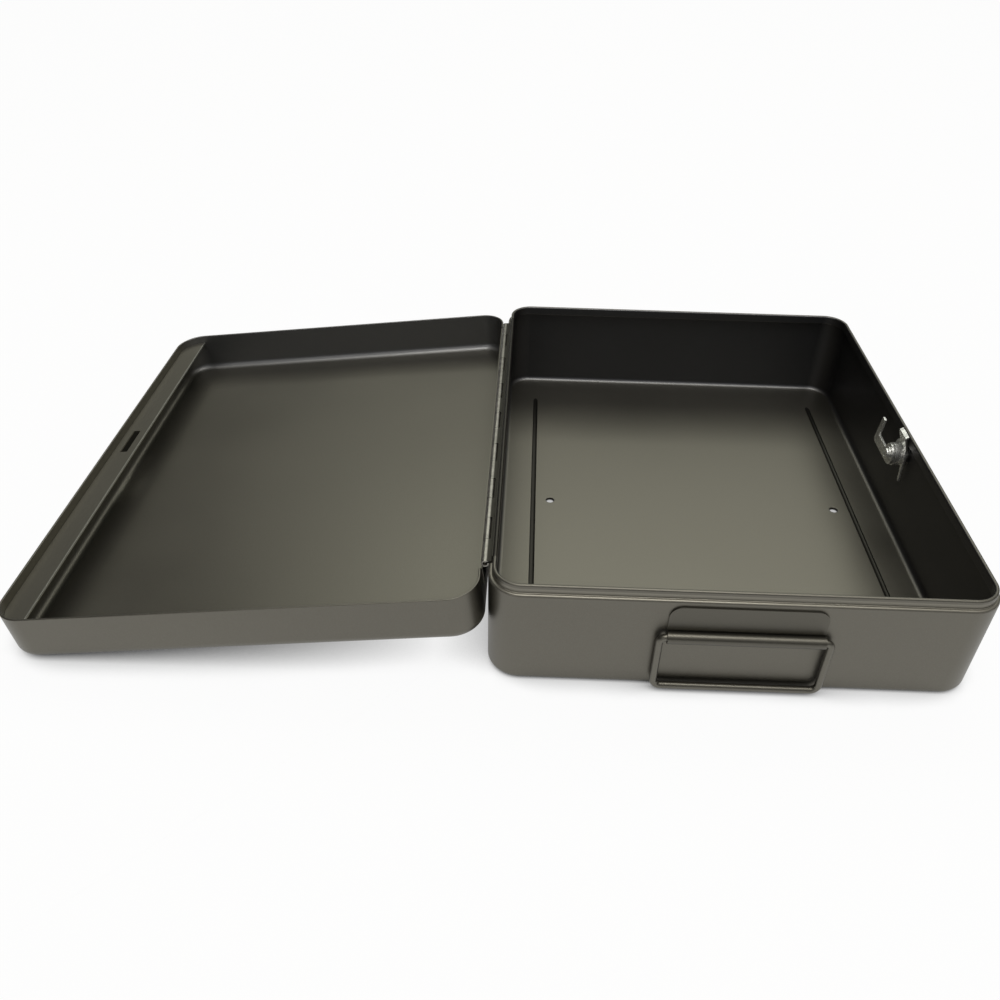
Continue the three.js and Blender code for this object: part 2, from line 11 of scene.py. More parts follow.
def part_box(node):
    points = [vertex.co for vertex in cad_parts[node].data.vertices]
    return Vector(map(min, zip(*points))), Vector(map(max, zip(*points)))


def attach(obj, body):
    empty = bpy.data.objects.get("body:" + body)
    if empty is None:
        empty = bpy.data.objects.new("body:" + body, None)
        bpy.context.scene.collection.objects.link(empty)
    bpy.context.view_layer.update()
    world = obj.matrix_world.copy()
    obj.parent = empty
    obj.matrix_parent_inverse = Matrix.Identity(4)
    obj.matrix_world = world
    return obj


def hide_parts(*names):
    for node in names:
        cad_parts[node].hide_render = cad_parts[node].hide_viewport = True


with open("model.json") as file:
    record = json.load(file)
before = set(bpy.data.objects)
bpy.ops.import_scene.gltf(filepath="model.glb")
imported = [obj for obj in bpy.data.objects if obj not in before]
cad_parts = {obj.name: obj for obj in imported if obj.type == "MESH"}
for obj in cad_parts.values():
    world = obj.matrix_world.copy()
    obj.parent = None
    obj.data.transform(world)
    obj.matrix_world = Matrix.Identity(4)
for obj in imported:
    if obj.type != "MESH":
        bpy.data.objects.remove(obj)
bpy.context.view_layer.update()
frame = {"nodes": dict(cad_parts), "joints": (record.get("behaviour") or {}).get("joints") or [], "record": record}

MM = 0.001

# Places that the frame gives
joints = {joint["name"]: joint for joint in frame["joints"]}
case_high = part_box("case_shell")[1]
HALF_WIDTH = case_high.x
HALF_DEPTH = case_high.y
RIM_HEIGHT = case_high.z
HINGE = Vector(joints["lid_hinge"]["pos_m"])
LID_OPEN = math.radians(joints["lid_hinge"]["range_deg"][1])
LID_TURN = Matrix.Translation(HINGE) @ Matrix.Rotation(-LID_OPEN, 4, "Y") @ Matrix.Translation(-HINGE)
CURL = Vector(joints["handle_swing"]["pos_m"])
LOCK = Vector(joints["lock_turn"]["pos_m"])
LOCK_LINE = Vector((0, LOCK.y, LOCK.z))

# Case
CORNER = 17 * MM
CASE_SHEET = 1.2 * MM
FLOOR_SHEET = 1.6 * MM
BASE_EDGE = 4 * MM
FLOOR_FILLET = 3.4 * MM
NECK_HEIGHT = 4.7 * MM
NECK_INSET = 2 * MM
NECK_ROOT = 0.4 * MM
SHELF_EDGE = 1.4 * MM
HEM = 2.2 * MM
HEM_EDGE = 0.5 * MM
HEM_LIFT = 0.2 * MM
SHELF = RIM_HEIGHT - NECK_HEIGHT

# Case floor
HOLE_RADIUS = 2.5 * MM
HOLE_LEAD = 0.5 * MM
HOLE_INSET = 33 * MM
HOLE_Y = -3 * MM
GROOVE_INSET = 22 * MM
GROOVE_HALF = 1.6 * MM
GROOVE_END_INSET = 29 * MM
GROOVE_DEPTH = 1.1 * MM
GROOVE_LEAD = 0.25 * MM
GROOVE_ROOT = 0.7 * MM
GROOVE_RUN_OUT = 14 * MM
RUN_OUT_MIDDLE_SHARE = 0.5
RUN_OUT_DEPTH_SHARE = 0.7

# Lid, in its closed place
LID_GAP = 0.1 * MM
LID_DEPTH = 28 * MM
LID_SHEET = 1.2 * MM
LID_EDGE = 6 * MM
RIM_ROUND = 0.45 * MM
NOTCH_GAP = 0.4 * MM
NOTCH_END = 1 * MM
LID_RIM = SHELF + LID_GAP
LID_TOP = LID_RIM + LID_DEPTH
LID_ROOF = LID_TOP - LID_SHEET

# Hinge
BARREL_RADIUS = 2 * MM
BARREL_BORE = 1.15 * MM
LEAF_SHEET = 0.6 * MM
LEAF_GAP = 0.05 * MM
LEAF_LENGTH = 270 * MM
LEAF_BEVEL = 0.12 * MM
KNUCKLES = 15
KNUCKLE_GAP = 0.3 * MM
ROLL_DEGREES = 285
PIN_RADIUS = 1 * MM
PIN_END = 1.5 * MM
CASE_LEAF_BEND = 0.3 * MM
CASE_LEAF_RISE = 3.9 * MM
LID_LEAF_HEIGHT = 10.6 * MM
NOTCH_TOP = HINGE.z + BARREL_RADIUS + NOTCH_GAP

# Lid lock strip, in its closed place
STRIP_SHEET = 1 * MM
STRIP_WIDTH = 14.5 * MM
STRIP_RIM_GAP = 0.4 * MM
STRIP_WALL_GAP = 0.1 * MM
STRIP_FLANGE = 12 * MM
STRIP_FLANGE_END_INSET = 20 * MM
STRIP_BEVEL = 0.2 * MM
SLOT_LENGTH = 25.5 * MM
SLOT_START = 6.7 * MM
SLOT_INNER_ROOM = 0.5 * MM
SLOT_OUTER_ROOM = 2.9 * MM
SLOT_ROUND = 0.6 * MM
STRIP_FAR = HALF_WIDTH - (LID_SHEET + STRIP_WALL_GAP)
STRIP_LOW = RIM_HEIGHT + STRIP_RIM_GAP

# Handle
PLATE_SHEET = 1 * MM
PLATE_HALF = 38.6 * MM
PLATE_HEIGHT = 17.7 * MM
PLATE_CORNER = 6.5 * MM
PLATE_BEVEL = 0.18 * MM
PLATE_SHARP_DEGREES = 40
PLATE_COLUMNS = 24
WIRE_RADIUS = 1.9 * MM
CURL_GAP = 0.3 * MM
CURL_DEGREES = 300
BAIL_BAR_HEIGHT = 3.5 * MM
BAIL_ARM_OFFSET = 3.4 * MM
BAIL_FOOT = 4 * MM
BAIL_END_GAP = 1.2 * MM
BAIL_BEVEL = 0.25 * MM
BAIL_SHARP_DEGREES = 60

# Lock
FLANGE_RADIUS = 9 * MM
FLANGE_SHEET = 1.6 * MM
FLANGE_ROUND = 0.6 * MM
FLANGE_GAP = 0.05 * MM
HOUSING_RADIUS = 7 * MM
HOUSING_REACH = 8.4 * MM
HOUSING_HOLE_GAP = 0.3 * MM
HOUSING_BEVEL = 0.15 * MM
CLIP_SHEET = 1 * MM
CLIP_STAND_OFF = 2.8 * MM
CLIP_GROOVE = 1 * MM
CLIP_AXIAL_GAP = 0.1 * MM
CLIP_BORE_GAP = 0.2 * MM
CLIP_RING = 3.2 * MM
CLIP_LEG_DROP = 13 * MM
CLIP_LEG_FLARE = 1.4 * MM
CLIP_TIP = 1.4 * MM
CLIP_TAB_HALF = 5.7 * MM
CLIP_TAB_SHIFT = 2.4 * MM
CLIP_TAB_ROOT = 7.3 * MM
CLIP_TAB_TOP = 14.5 * MM
CLIP_TAB_LEAN = 2.6 * MM
CLIP_TAB_TIP_RUN = 1.8 * MM
CLIP_TAB_TIP_RISE = 1.2 * MM
CLIP_BEVEL = 0.16 * MM
PLUG_RADIUS = 5 * MM
PLUG_GAP = 0.2 * MM
PLUG_DISH = 0.35 * MM
PLUG_BEVEL = 0.12 * MM
STUB_HALF = 2.9 * MM
STUB_GAP = 0.15 * MM
STUB_ROUND = 0.3 * MM
KEYWAY_WIDTH = 1.6 * MM
KEYWAY_HEIGHT = 6 * MM
KEYWAY_DEPTH = 7.4 * MM
KEYWAY_ROUND = 0.3 * MM
STACK_GAP = 0.1 * MM
CAM_SHEET = 1.5 * MM
CAM_HUB = 6.5 * MM
CAM_REACH = 26.5 * MM
CAM_ARM_TOP = 0.5 * MM
CAM_ELBOW = 3 * MM
CAM_SQUARE_ROUND = 0.2 * MM
CAM_BEVEL = 0.2 * MM
HUB_END_DEGREES = 82
FINGER_ROOT = 20.7 * MM
FINGER_INNER = 19.1 * MM
FINGER_OUTER = 23.1 * MM
FINGER_RISE = 12.2 * MM
WASHER_SHEET = 0.8 * MM
WASHER_RADIUS = 4.6 * MM
WASHER_BEVEL = 0.15 * MM
SCREW_RADIUS = 1.8 * MM
SCREW_GAP = 0.2 * MM
SCREW_HEAD = 3.4 * MM
SCREW_HEAD_HEIGHT = 1.3 * MM
SCREW_DOME = 0.6 * MM
SCREW_DEPTH = 3.2 * MM
SCREW_BEVEL = 0.08 * MM
RECESS_WIDTH = 0.8 * MM
RECESS_LENGTH = 3.8 * MM
RECESS_DEPTH = 0.7 * MM
RECESS_ROUND = 0.2 * MM
SPRING_WIRE = 0.08 * MM
SPRING_TURNS = 7
SPRING_TURN_STEPS = 16
SPRING_ROUNDNESS = 2

# Places along the lock's axis, from its face inwards
FLANGE_X = HALF_WIDTH + FLANGE_GAP
FACE_X = FLANGE_X + FLANGE_SHEET
CLIP_X = HALF_WIDTH - CASE_SHEET - CLIP_STAND_OFF
HOUSING_END_X = HALF_WIDTH - HOUSING_REACH
CAM_OUTER_X = HOUSING_END_X - 2 * PLUG_GAP
CAM_INNER_X = CAM_OUTER_X - CAM_SHEET
WASHER_OUTER_X = CAM_INNER_X - STACK_GAP
WASHER_INNER_X = WASHER_OUTER_X - WASHER_SHEET
SCREW_END_X = CAM_INNER_X + SCREW_DEPTH

# Working values
OVERRUN = 2 * MM
CORNER_STEPS = 24
BEND_STEPS = 8
ROUND_SIDES = 64
WIRE_SIDES = 28
BEVEL_SEGMENTS = 3
SHARP_DEGREES = 32
COLLAPSED = 1e-7

# Camera, solved from the box's straight edges; the image is 1000 by 1000
IMAGE = 1000
FOCAL_PIXELS = 899.44
PRINCIPAL_X = 513.106
PRINCIPAL_Y = 549.713
CAMERA_PLACE = Vector((-107.825, -477.128, 347.476)) * MM
CAMERA_TILT = 0.6869
CAMERA_YAW = -0.0155
CAMERA_ROLL = -0.0256
SENSOR = 36
NEAREST = 0.01
FARTHEST = 50


# Mesh helpers

def arc(across, up, radius, start, end, steps=BEND_STEPS):
    points = []
    for step in range(steps + 1):
        angle = math.radians(start + (end - start) * step / steps)
        points.append((across + radius * math.cos(angle), up + radius * math.sin(angle)))
    return points


def rounded_section(middle, reach, radius, steps=BEND_STEPS):
    """A rectangle with rounded corners, whose centres lie this far from the middle each way."""
    section = []
    quarter = 90
    for corner, (side_a, side_u) in enumerate(((1, 1), (-1, 1), (-1, -1), (1, -1))):
        across = middle[0] + side_a * reach[0]
        up = middle[1] + side_u * reach[1]
        section += arc(across, up, radius, corner * quarter, (corner + 1) * quarter, steps)
    return section


def rounded_ring(inset, z):
    """The case's outline seen from above, drawn in by an inset."""
    reach = (HALF_WIDTH - CORNER, HALF_DEPTH - CORNER)
    return [Vector((x, y, z)) for x, y in rounded_section((0, 0), reach, CORNER - inset, CORNER_STEPS)]


def linked(name, data):
    """A new object in the scene."""
    thing = bpy.data.objects.new(name, data)
    bpy.context.scene.collection.objects.link(thing)
    return thing


def mesh_object(name, points, faces):
    mesh = bpy.data.meshes.new(name)
    mesh.from_pydata([tuple(point) for point in points], [], faces)
    shape = bmesh.new()
    shape.from_mesh(mesh)
    bmesh.ops.remove_doubles(shape, verts=shape.verts, dist=COLLAPSED)
    bmesh.ops.recalc_face_normals(shape, faces=shape.faces)
    shape.to_mesh(mesh)
    shape.free()
    return linked(name, mesh)


def loft(name, rings, around=False):
    """A skin over rings of points; it closes on its first ring, or else has a cap at each end."""
    count = len(rings[0])
    rows = len(rings) if around else len(rings) - 1
    faces = []
    for row in range(rows):
        near = row * count
        far = (row + 1) % len(rings) * count
        for side in range(count):
            after = (side + 1) % count
            faces.append((near + side, near + after, far + after, far + side))
    if not around:
        faces.append(tuple(range(count)))
        faces.append(tuple(range((len(rings) - 1) * count, len(rings) * count)))
    return mesh_object(name, [point for ring in rings for point in ring], faces)


def placed(axis, across, up, along):
    """A point of a section that stands across the axis X, Y or Z."""
    return {
        "X": Vector((along, across, up)),
        "Y": Vector((across, along, up)),
        "Z": Vector((across, up, along)),
    }[axis]


def pushed(name, axis, section, low, high):
    """A section pushed along an axis."""
    return loft(name, [[placed(axis, a, u, along) for a, u in section] for along in (low, high)])


def box(name, low, high):
    section = [(low[0], low[1]), (high[0], low[1]), (high[0], high[1]), (low[0], high[1])]
    return pushed(name, "Z", section, low[2], high[2])


def rounded_box(name, axis, centre, half, low, high, radius):
    """A bar along an axis with a section that has rounded corners."""
    reach = (half[0] - radius, half[1] - radius)
    return pushed(name, axis, rounded_section(centre, reach, radius), low, high)


def turned(name, axis, centre, profile, sides=ROUND_SIDES):
    """A turned piece about the axis X, Y or Z, from a closed profile of radius and place."""
    rings = []
    for side in range(sides):
        angle = 2 * math.pi * side / sides
        cos, sin = math.cos(angle), math.sin(angle)
        rings.append([centre + placed(axis, r * cos, r * sin, along) for r, along in profile])
    return loft(name, rings, around=True)


def rod(name, axis, centre, radius, low, high):
    """A plain round bar along an axis."""
    profile = [(COLLAPSED, low), (radius, low), (radius, high), (COLLAPSED, high)]
    return turned(name, axis, centre, profile)


def swept(name, path, normal, radius, sides=WIRE_SIDES):
    """A round wire along a path in the plane with this normal."""
    rings = []
    last = len(path) - 1
    for place, point in enumerate(path):
        along = (path[min(place + 1, last)] - path[max(place - 1, 0)]).normalized()
        across = along.cross(normal)
        ring = []
        for side in range(sides):
            angle = 2 * math.pi * side / sides
            ring.append(point + radius * (across * math.cos(angle) + normal * math.sin(angle)))
        rings.append(ring)
    return loft(name, rings)


def evaluated_mesh(piece):
    graph = bpy.context.evaluated_depsgraph_get()
    return bpy.data.meshes.new_from_object(piece.evaluated_get(graph))


def settle(piece):
    """Makes the piece's modifiers part of its mesh."""
    mesh = evaluated_mesh(piece)
    piece.modifiers.clear()
    piece.data = mesh


def combine(piece, tool, operation):
    """Changes the piece by a tool, which is used up."""
    change = piece.modifiers.new("change", "BOOLEAN")
    change.operation = operation
    change.solver = "EXACT"
    change.object = tool
    settle(piece)
    bpy.data.objects.remove(tool)


def cut(piece, tool):
    combine(piece, tool, "DIFFERENCE")


def join(piece, tool):
    combine(piece, tool, "UNION")


def smoothed(piece, bevel=0, sharp=SHARP_DEGREES):
    """Bevels the piece's sharp edges, if a width is given, and shades its rounds smoothly."""
    if bevel:
        edge = piece.modifiers.new("edges", "BEVEL")
        edge.width = bevel
        edge.segments = BEVEL_SEGMENTS
        edge.limit_method = "ANGLE"
        edge.angle_limit = math.radians(sharp)
        edge.use_clamp_overlap = True
        settle(piece)
    piece.data.shade_smooth()
    piece.data.set_sharp_from_angle(angle=math.radians(sharp))
    shading = piece.modifiers.new("shading", "WEIGHTED_NORMAL")
    shading.keep_sharp = True
    return piece


def opened(piece):
    """Turns a lid piece from its closed place to where the open lid lies."""
    piece.data.transform(LID_TURN)
    piece.data.update()
    return piece


# Case

def case_profile():
    """Inset and height of each ring, from the underside up the outside and down the inside."""
    round_top = HEM / 2
    inner_shelf = SHELF - CASE_SHEET
    hem_inner = NECK_INSET + HEM
    return [
        *arc(BASE_EDGE, BASE_EDGE, BASE_EDGE, 270, 180),
        *arc(SHELF_EDGE, SHELF - SHELF_EDGE, SHELF_EDGE, 180, 90),
        *arc(NECK_INSET - NECK_ROOT, SHELF + NECK_ROOT, NECK_ROOT, 270, 360),
        *arc(NECK_INSET + round_top, RIM_HEIGHT - round_top, round_top, 180, 0, 2 * BEND_STEPS),
        *arc(hem_inner - HEM_EDGE, inner_shelf + HEM_LIFT + HEM_EDGE, HEM_EDGE, 0, -90),
        *arc(CASE_SHEET + SHELF_EDGE, inner_shelf - SHELF_EDGE, SHELF_EDGE, 90, 180),
        *arc(CASE_SHEET + FLOOR_FILLET, FLOOR_SHEET + FLOOR_FILLET, FLOOR_FILLET, 180, 270),
    ]


def groove_tool(side):
    """A long narrow bar with a round root, which rises out of the floor at both ends."""
    centre_x = side * (HALF_WIDTH - GROOVE_INSET)
    end = HALF_DEPTH - GROOVE_END_INSET
    top = FLOOR_SHEET + OVERRUN
    mouth = GROOVE_HALF + GROOVE_LEAD
    root = arc(0, 0, GROOVE_ROOT, 180, 360, 2 * BEND_STEPS)
    middle = (RUN_OUT_MIDDLE_SHARE, RUN_OUT_DEPTH_SHARE * GROOVE_DEPTH)
    depths = [(0, -GROOVE_LEAD), middle, (1, GROOVE_DEPTH)]
    stations = [(end - share * GROOVE_RUN_OUT, depth) for share, depth in depths]
    rings = []
    for y, depth in [(-y, depth) for y, depth in stations] + stations[::-1]:
        root_z = FLOOR_SHEET - depth
        section = [(a * GROOVE_HALF / GROOVE_ROOT, root_z + GROOVE_ROOT + u) for a, u in root]
        section += [(mouth, top), (-mouth, top)]
        rings.append([Vector((centre_x + across, y, z)) for across, z in section])
    return loft("groove_tool", rings)


def hole_tool(side):
    centre = Vector((side * (HALF_WIDTH - HOLE_INSET), HOLE_Y, 0))
    profile = [
        (COLLAPSED, -OVERRUN),
        (HOLE_RADIUS, -OVERRUN),
        *arc(HOLE_RADIUS + HOLE_LEAD, FLOOR_SHEET - HOLE_LEAD, HOLE_LEAD, 180, 90),
        (HOLE_RADIUS + HOLE_LEAD, FLOOR_SHEET + OVERRUN),
        (COLLAPSED, FLOOR_SHEET + OVERRUN),
    ]
    return turned("hole_tool", "Z", centre, profile)


def case_shell(name):
    piece = loft(name, [rounded_ring(inset, z) for inset, z in case_profile()])
    for side in (-1, 1):
        cut(piece, groove_tool(side))
        cut(piece, hole_tool(side))
    radius = HOUSING_RADIUS + HOUSING_HOLE_GAP
    low = HALF_WIDTH - CASE_SHEET - OVERRUN
    cut(piece, rod("lock_hole", "X", LOCK_LINE, radius, low, HALF_WIDTH + OVERRUN))
    return smoothed(piece)


# Lid, modelled closed, then opened

def lid_shell(name):
    inner = LID_EDGE - LID_SHEET
    profile = [
        *arc(LID_EDGE, LID_TOP - LID_EDGE, LID_EDGE, 90, 180, 2 * BEND_STEPS),
        *arc(RIM_ROUND, LID_RIM + RIM_ROUND, RIM_ROUND, 180, 270),
        *arc(LID_SHEET - RIM_ROUND, LID_RIM + RIM_ROUND, RIM_ROUND, 270, 360),
        *arc(LID_SHEET + inner, LID_ROOF - inner, inner, 180, 90, 2 * BEND_STEPS),
    ]
    piece = loft(name, [rounded_ring(inset, z) for inset, z in profile])
    notch_half = LEAF_LENGTH / 2 + NOTCH_END
    low = (-HALF_WIDTH - OVERRUN, -notch_half, LID_RIM - OVERRUN)
    high = (-HALF_WIDTH + LID_SHEET + OVERRUN, notch_half, NOTCH_TOP)
    cut(piece, box("notch", low, high))
    return opened(smoothed(piece))


def lid_lock_strip(name):
    """A flat ledge just above the case's rim, with a flange up the lid's wall."""
    inset = LID_SHEET + STRIP_WALL_GAP
    top = STRIP_LOW + STRIP_SHEET
    piece = box(name, (STRIP_FAR - STRIP_WIDTH, -HALF_DEPTH, STRIP_LOW), (STRIP_FAR, HALF_DEPTH, top))
    trim = loft("trim", [rounded_ring(inset, z) for z in (STRIP_LOW - OVERRUN, top + OVERRUN)])
    combine(piece, trim, "INTERSECT")
    flange_end = HALF_DEPTH - STRIP_FLANGE_END_INSET
    flange_low = (STRIP_FAR - STRIP_SHEET, -flange_end, STRIP_LOW)
    join(piece, box("flange", flange_low, (STRIP_FAR, flange_end, STRIP_LOW + STRIP_FLANGE)))
    slot_x = (CAM_INNER_X - SLOT_INNER_ROOM, CAM_OUTER_X + SLOT_OUTER_ROOM)
    slot_y = (LOCK.y + SLOT_START, LOCK.y + SLOT_START + SLOT_LENGTH)
    centre = (sum(slot_x) / 2, sum(slot_y) / 2)
    half = ((slot_x[1] - slot_x[0]) / 2, (slot_y[1] - slot_y[0]) / 2)
    cut(piece, rounded_box("slot", "Z", centre, half, STRIP_LOW - OVERRUN, top + OVERRUN, SLOT_ROUND))
    return opened(smoothed(piece, STRIP_BEVEL))


# Hinge

def rolled(start, turn, root):
    """Section of a tongue that comes from its root and rolls about the pin."""
    steps = 4 * BEND_STEPS
    outer = arc(HINGE.x, HINGE.z, BARREL_RADIUS, start, start + turn * ROLL_DEGREES, steps)
    inner = arc(HINGE.x, HINGE.z, BARREL_BORE, start + turn * ROLL_DEGREES, start, steps)
    return [root[0], *outer, *inner, root[1]]


def add_knuckles(leaf, first, section):
    """Joins every other knuckle to a leaf, from the first one on."""
    pitch = LEAF_LENGTH / KNUCKLES
    for knuckle in range(first, KNUCKLES, 2):
        start = knuckle * pitch - LEAF_LENGTH / 2
        low, high = start + KNUCKLE_GAP / 2, start + pitch - KNUCKLE_GAP / 2
        join(leaf, pushed("knuckle", "Y", section, low, high))


def hinge_leaf_case(name):
    face = -HALF_WIDTH + NECK_INSET - LEAF_GAP
    bend = (face - CASE_LEAF_BEND - LEAF_SHEET, LID_RIM + CASE_LEAF_BEND + LEAF_SHEET)
    start = HINGE.x + BARREL_RADIUS
    strip = [
        (start, LID_RIM),
        *arc(*bend, CASE_LEAF_BEND + LEAF_SHEET, 270, 360),
        (face, LID_RIM + CASE_LEAF_RISE),
        (face - LEAF_SHEET, LID_RIM + CASE_LEAF_RISE),
        *arc(*bend, CASE_LEAF_BEND, 360, 270),
        (start, LID_RIM + LEAF_SHEET),
    ]
    piece = pushed(name, "Y", strip, -LEAF_LENGTH / 2, LEAF_LENGTH / 2)
    add_knuckles(piece, 0, rolled(90, 1, ((bend[0], LID_RIM + LEAF_SHEET), (bend[0], LID_RIM))))
    return smoothed(piece, LEAF_BEVEL)


def hinge_leaf_lid(name):
    outer = -HALF_WIDTH - LEAF_GAP
    inner = outer - LEAF_SHEET
    strip = [(inner, NOTCH_TOP), (outer, NOTCH_TOP)]
    strip += [(outer, NOTCH_TOP + LID_LEAF_HEIGHT), (inner, NOTCH_TOP + LID_LEAF_HEIGHT)]
    piece = pushed(name, "Y", strip, -LEAF_LENGTH / 2, LEAF_LENGTH / 2)
    top = NOTCH_TOP + LEAF_SHEET
    add_knuckles(piece, 1, rolled(0, -1, ((outer, top), (inner, top))))
    return opened(smoothed(piece, LEAF_BEVEL))


def hinge_pin(name):
    reach = LEAF_LENGTH / 2 - PIN_END
    dome = PIN_RADIUS / 2
    profile = [(COLLAPSED, -reach), *arc(dome, -reach + dome, dome, 270, 360)]
    profile += [*arc(dome, reach - dome, dome, 0, 90), (COLLAPSED, reach)]
    return smoothed(turned(name, "Y", Vector((HINGE.x, 0, HINGE.z)), profile, WIRE_SIDES))


# Handle

def handle_plate(name):
    """The sheet from its top edge down the wall and round the curl, with its upper corners rounded."""
    bore = WIRE_RADIUS + CURL_GAP
    middle = bore + PLATE_SHEET / 2
    top = CURL.z + PLATE_HEIGHT
    wall_y = CURL.y + middle
    corner_z = top - PLATE_CORNER
    rows = []
    for across, z in arc(PLATE_HALF - PLATE_CORNER, corner_z, PLATE_CORNER, 90, 0, 2 * BEND_STEPS):
        rows.append((across, wall_y, z))
    for y, z in arc(CURL.y, CURL.z, middle, 0, -CURL_DEGREES, 6 * BEND_STEPS):
        rows.append((PLATE_HALF, y, z))
    points = []
    for half, y, z in rows:
        for column in range(PLATE_COLUMNS + 1):
            points.append(Vector((CURL.x + half * (2 * column / PLATE_COLUMNS - 1), y, z)))
    faces = []
    for row in range(len(rows) - 1):
        for column in range(PLATE_COLUMNS):
            near = row * (PLATE_COLUMNS + 1) + column
            far = near + PLATE_COLUMNS + 1
            faces.append((near, near + 1, far + 1, far))
    piece = mesh_object(name, points, faces)
    sheet = piece.modifiers.new("sheet", "SOLIDIFY")
    sheet.thickness = PLATE_SHEET
    sheet.offset = 0
    sheet.use_even_offset = True
    settle(piece)
    return smoothed(piece, PLATE_BEVEL, PLATE_SHARP_DEGREES)


def handle_bail(name):
    """A wire loop whose two ends lie inside the curl with a small gap between them."""
    arm_x = PLATE_HALF + BAIL_ARM_OFFSET
    half = [
        (BAIL_END_GAP / 2, CURL.z),
        *arc(PLATE_HALF, CURL.z - BAIL_ARM_OFFSET, BAIL_ARM_OFFSET, 90, 0),
        *arc(arm_x - BAIL_FOOT, BAIL_BAR_HEIGHT + BAIL_FOOT, BAIL_FOOT, 0, -90, 2 * BEND_STEPS),
    ]
    line = half + [(-x, z) for x, z in reversed(half)]
    path = [Vector((CURL.x + x, CURL.y, z)) for x, z in line]
    return smoothed(swept(name, path, Vector((0, 1, 0)), WIRE_RADIUS), BAIL_BEVEL, BAIL_SHARP_DEGREES)


# Lock

def lock_housing(name):
    bore = PLUG_RADIUS + PLUG_GAP
    neck = HOUSING_RADIUS - CLIP_GROOVE
    clip_low = CLIP_X - CLIP_AXIAL_GAP
    clip_high = CLIP_X + CLIP_SHEET + CLIP_AXIAL_GAP
    profile = [
        (bore, HOUSING_END_X),
        (HOUSING_RADIUS, HOUSING_END_X),
        (HOUSING_RADIUS, clip_low),
        (neck, clip_low),
        (neck, clip_high),
        (HOUSING_RADIUS, clip_high),
        (HOUSING_RADIUS, FLANGE_X),
        (FLANGE_RADIUS, FLANGE_X),
        *arc(FLANGE_RADIUS - FLANGE_ROUND, FACE_X - FLANGE_ROUND, FLANGE_ROUND, 0, 90),
        (bore, FACE_X),
    ]
    return smoothed(turned(name, "X", LOCK_LINE, profile), HOUSING_BEVEL)


def lock_plug(name):
    """The turning plug, with a square stub for the cam, a keyway and a bore for the screw."""
    shoulder = HOUSING_END_X - PLUG_GAP
    profile = [
        (COLLAPSED, shoulder),
        (PLUG_RADIUS, shoulder),
        (PLUG_RADIUS, FACE_X - PLUG_DISH),
        (PLUG_RADIUS - PLUG_DISH, FACE_X),
        (COLLAPSED, FACE_X),
    ]
    piece = turned(name, "X", LOCK_LINE, profile)
    stub_end = CAM_INNER_X + STACK_GAP
    stub = (STUB_HALF, STUB_HALF)
    centre = (LOCK.y, LOCK.z)
    join(piece, rounded_box("stub", "X", centre, stub, stub_end, shoulder + PLUG_GAP, STUB_ROUND))
    keyway = (KEYWAY_WIDTH / 2, KEYWAY_HEIGHT / 2)
    root = FACE_X - KEYWAY_DEPTH
    cut(piece, rounded_box("keyway", "X", centre, keyway, root, FACE_X + OVERRUN, KEYWAY_ROUND))
    cut(piece, rod("drill", "X", LOCK_LINE, SCREW_RADIUS + SCREW_GAP, stub_end - OVERRUN, SCREW_END_X))
    return smoothed(piece, PLUG_BEVEL)


def lock_clip(name):
    """A horseshoe round the housing's neck, with two legs and a tab that leans away from the wall."""
    bore = HOUSING_RADIUS - CLIP_GROOVE + CLIP_BORE_GAP
    outer = bore + CLIP_RING
    low, high = CLIP_X, CLIP_X + CLIP_SHEET
    leg_end = LOCK.z - CLIP_LEG_DROP
    tip = outer + CLIP_LEG_FLARE
    horseshoe = [
        *arc(LOCK.y, LOCK.z, outer, 0, 180, ROUND_SIDES // 2),
        (LOCK.y - tip, leg_end),
        (LOCK.y - tip + CLIP_TIP, leg_end),
        *arc(LOCK.y, LOCK.z, bore, 180, 0, ROUND_SIDES // 2),
        (LOCK.y + tip - CLIP_TIP, leg_end),
        (LOCK.y + tip, leg_end),
    ]
    piece = pushed(name, "X", horseshoe, low, high)
    root = LOCK.z + CLIP_TAB_ROOT
    top = LOCK.z + CLIP_TAB_TOP
    middle = LOCK.y - CLIP_TAB_SHIFT
    inner = low - CLIP_TAB_LEAN
    tip_x = inner + CLIP_TAB_TIP_RUN
    slope = CLIP_TAB_TIP_RISE / CLIP_TAB_TIP_RUN
    tip_sheet = CLIP_SHEET * math.hypot(1, slope)
    leaning = [
        (low, LOCK.z + bore),
        (high, LOCK.z + bore),
        (high, root),
        (inner + CLIP_SHEET, top + CLIP_SHEET * slope),
        (tip_x, top + CLIP_TAB_TIP_RISE),
        (tip_x, top + CLIP_TAB_TIP_RISE + tip_sheet),
        (inner, top + tip_sheet),
        (inner, top),
        (low, root),
    ]
    join(piece, pushed("tab", "Y", leaning, middle - CLIP_TAB_HALF, middle + CLIP_TAB_HALF))
    return smoothed(piece, CLIP_BEVEL)


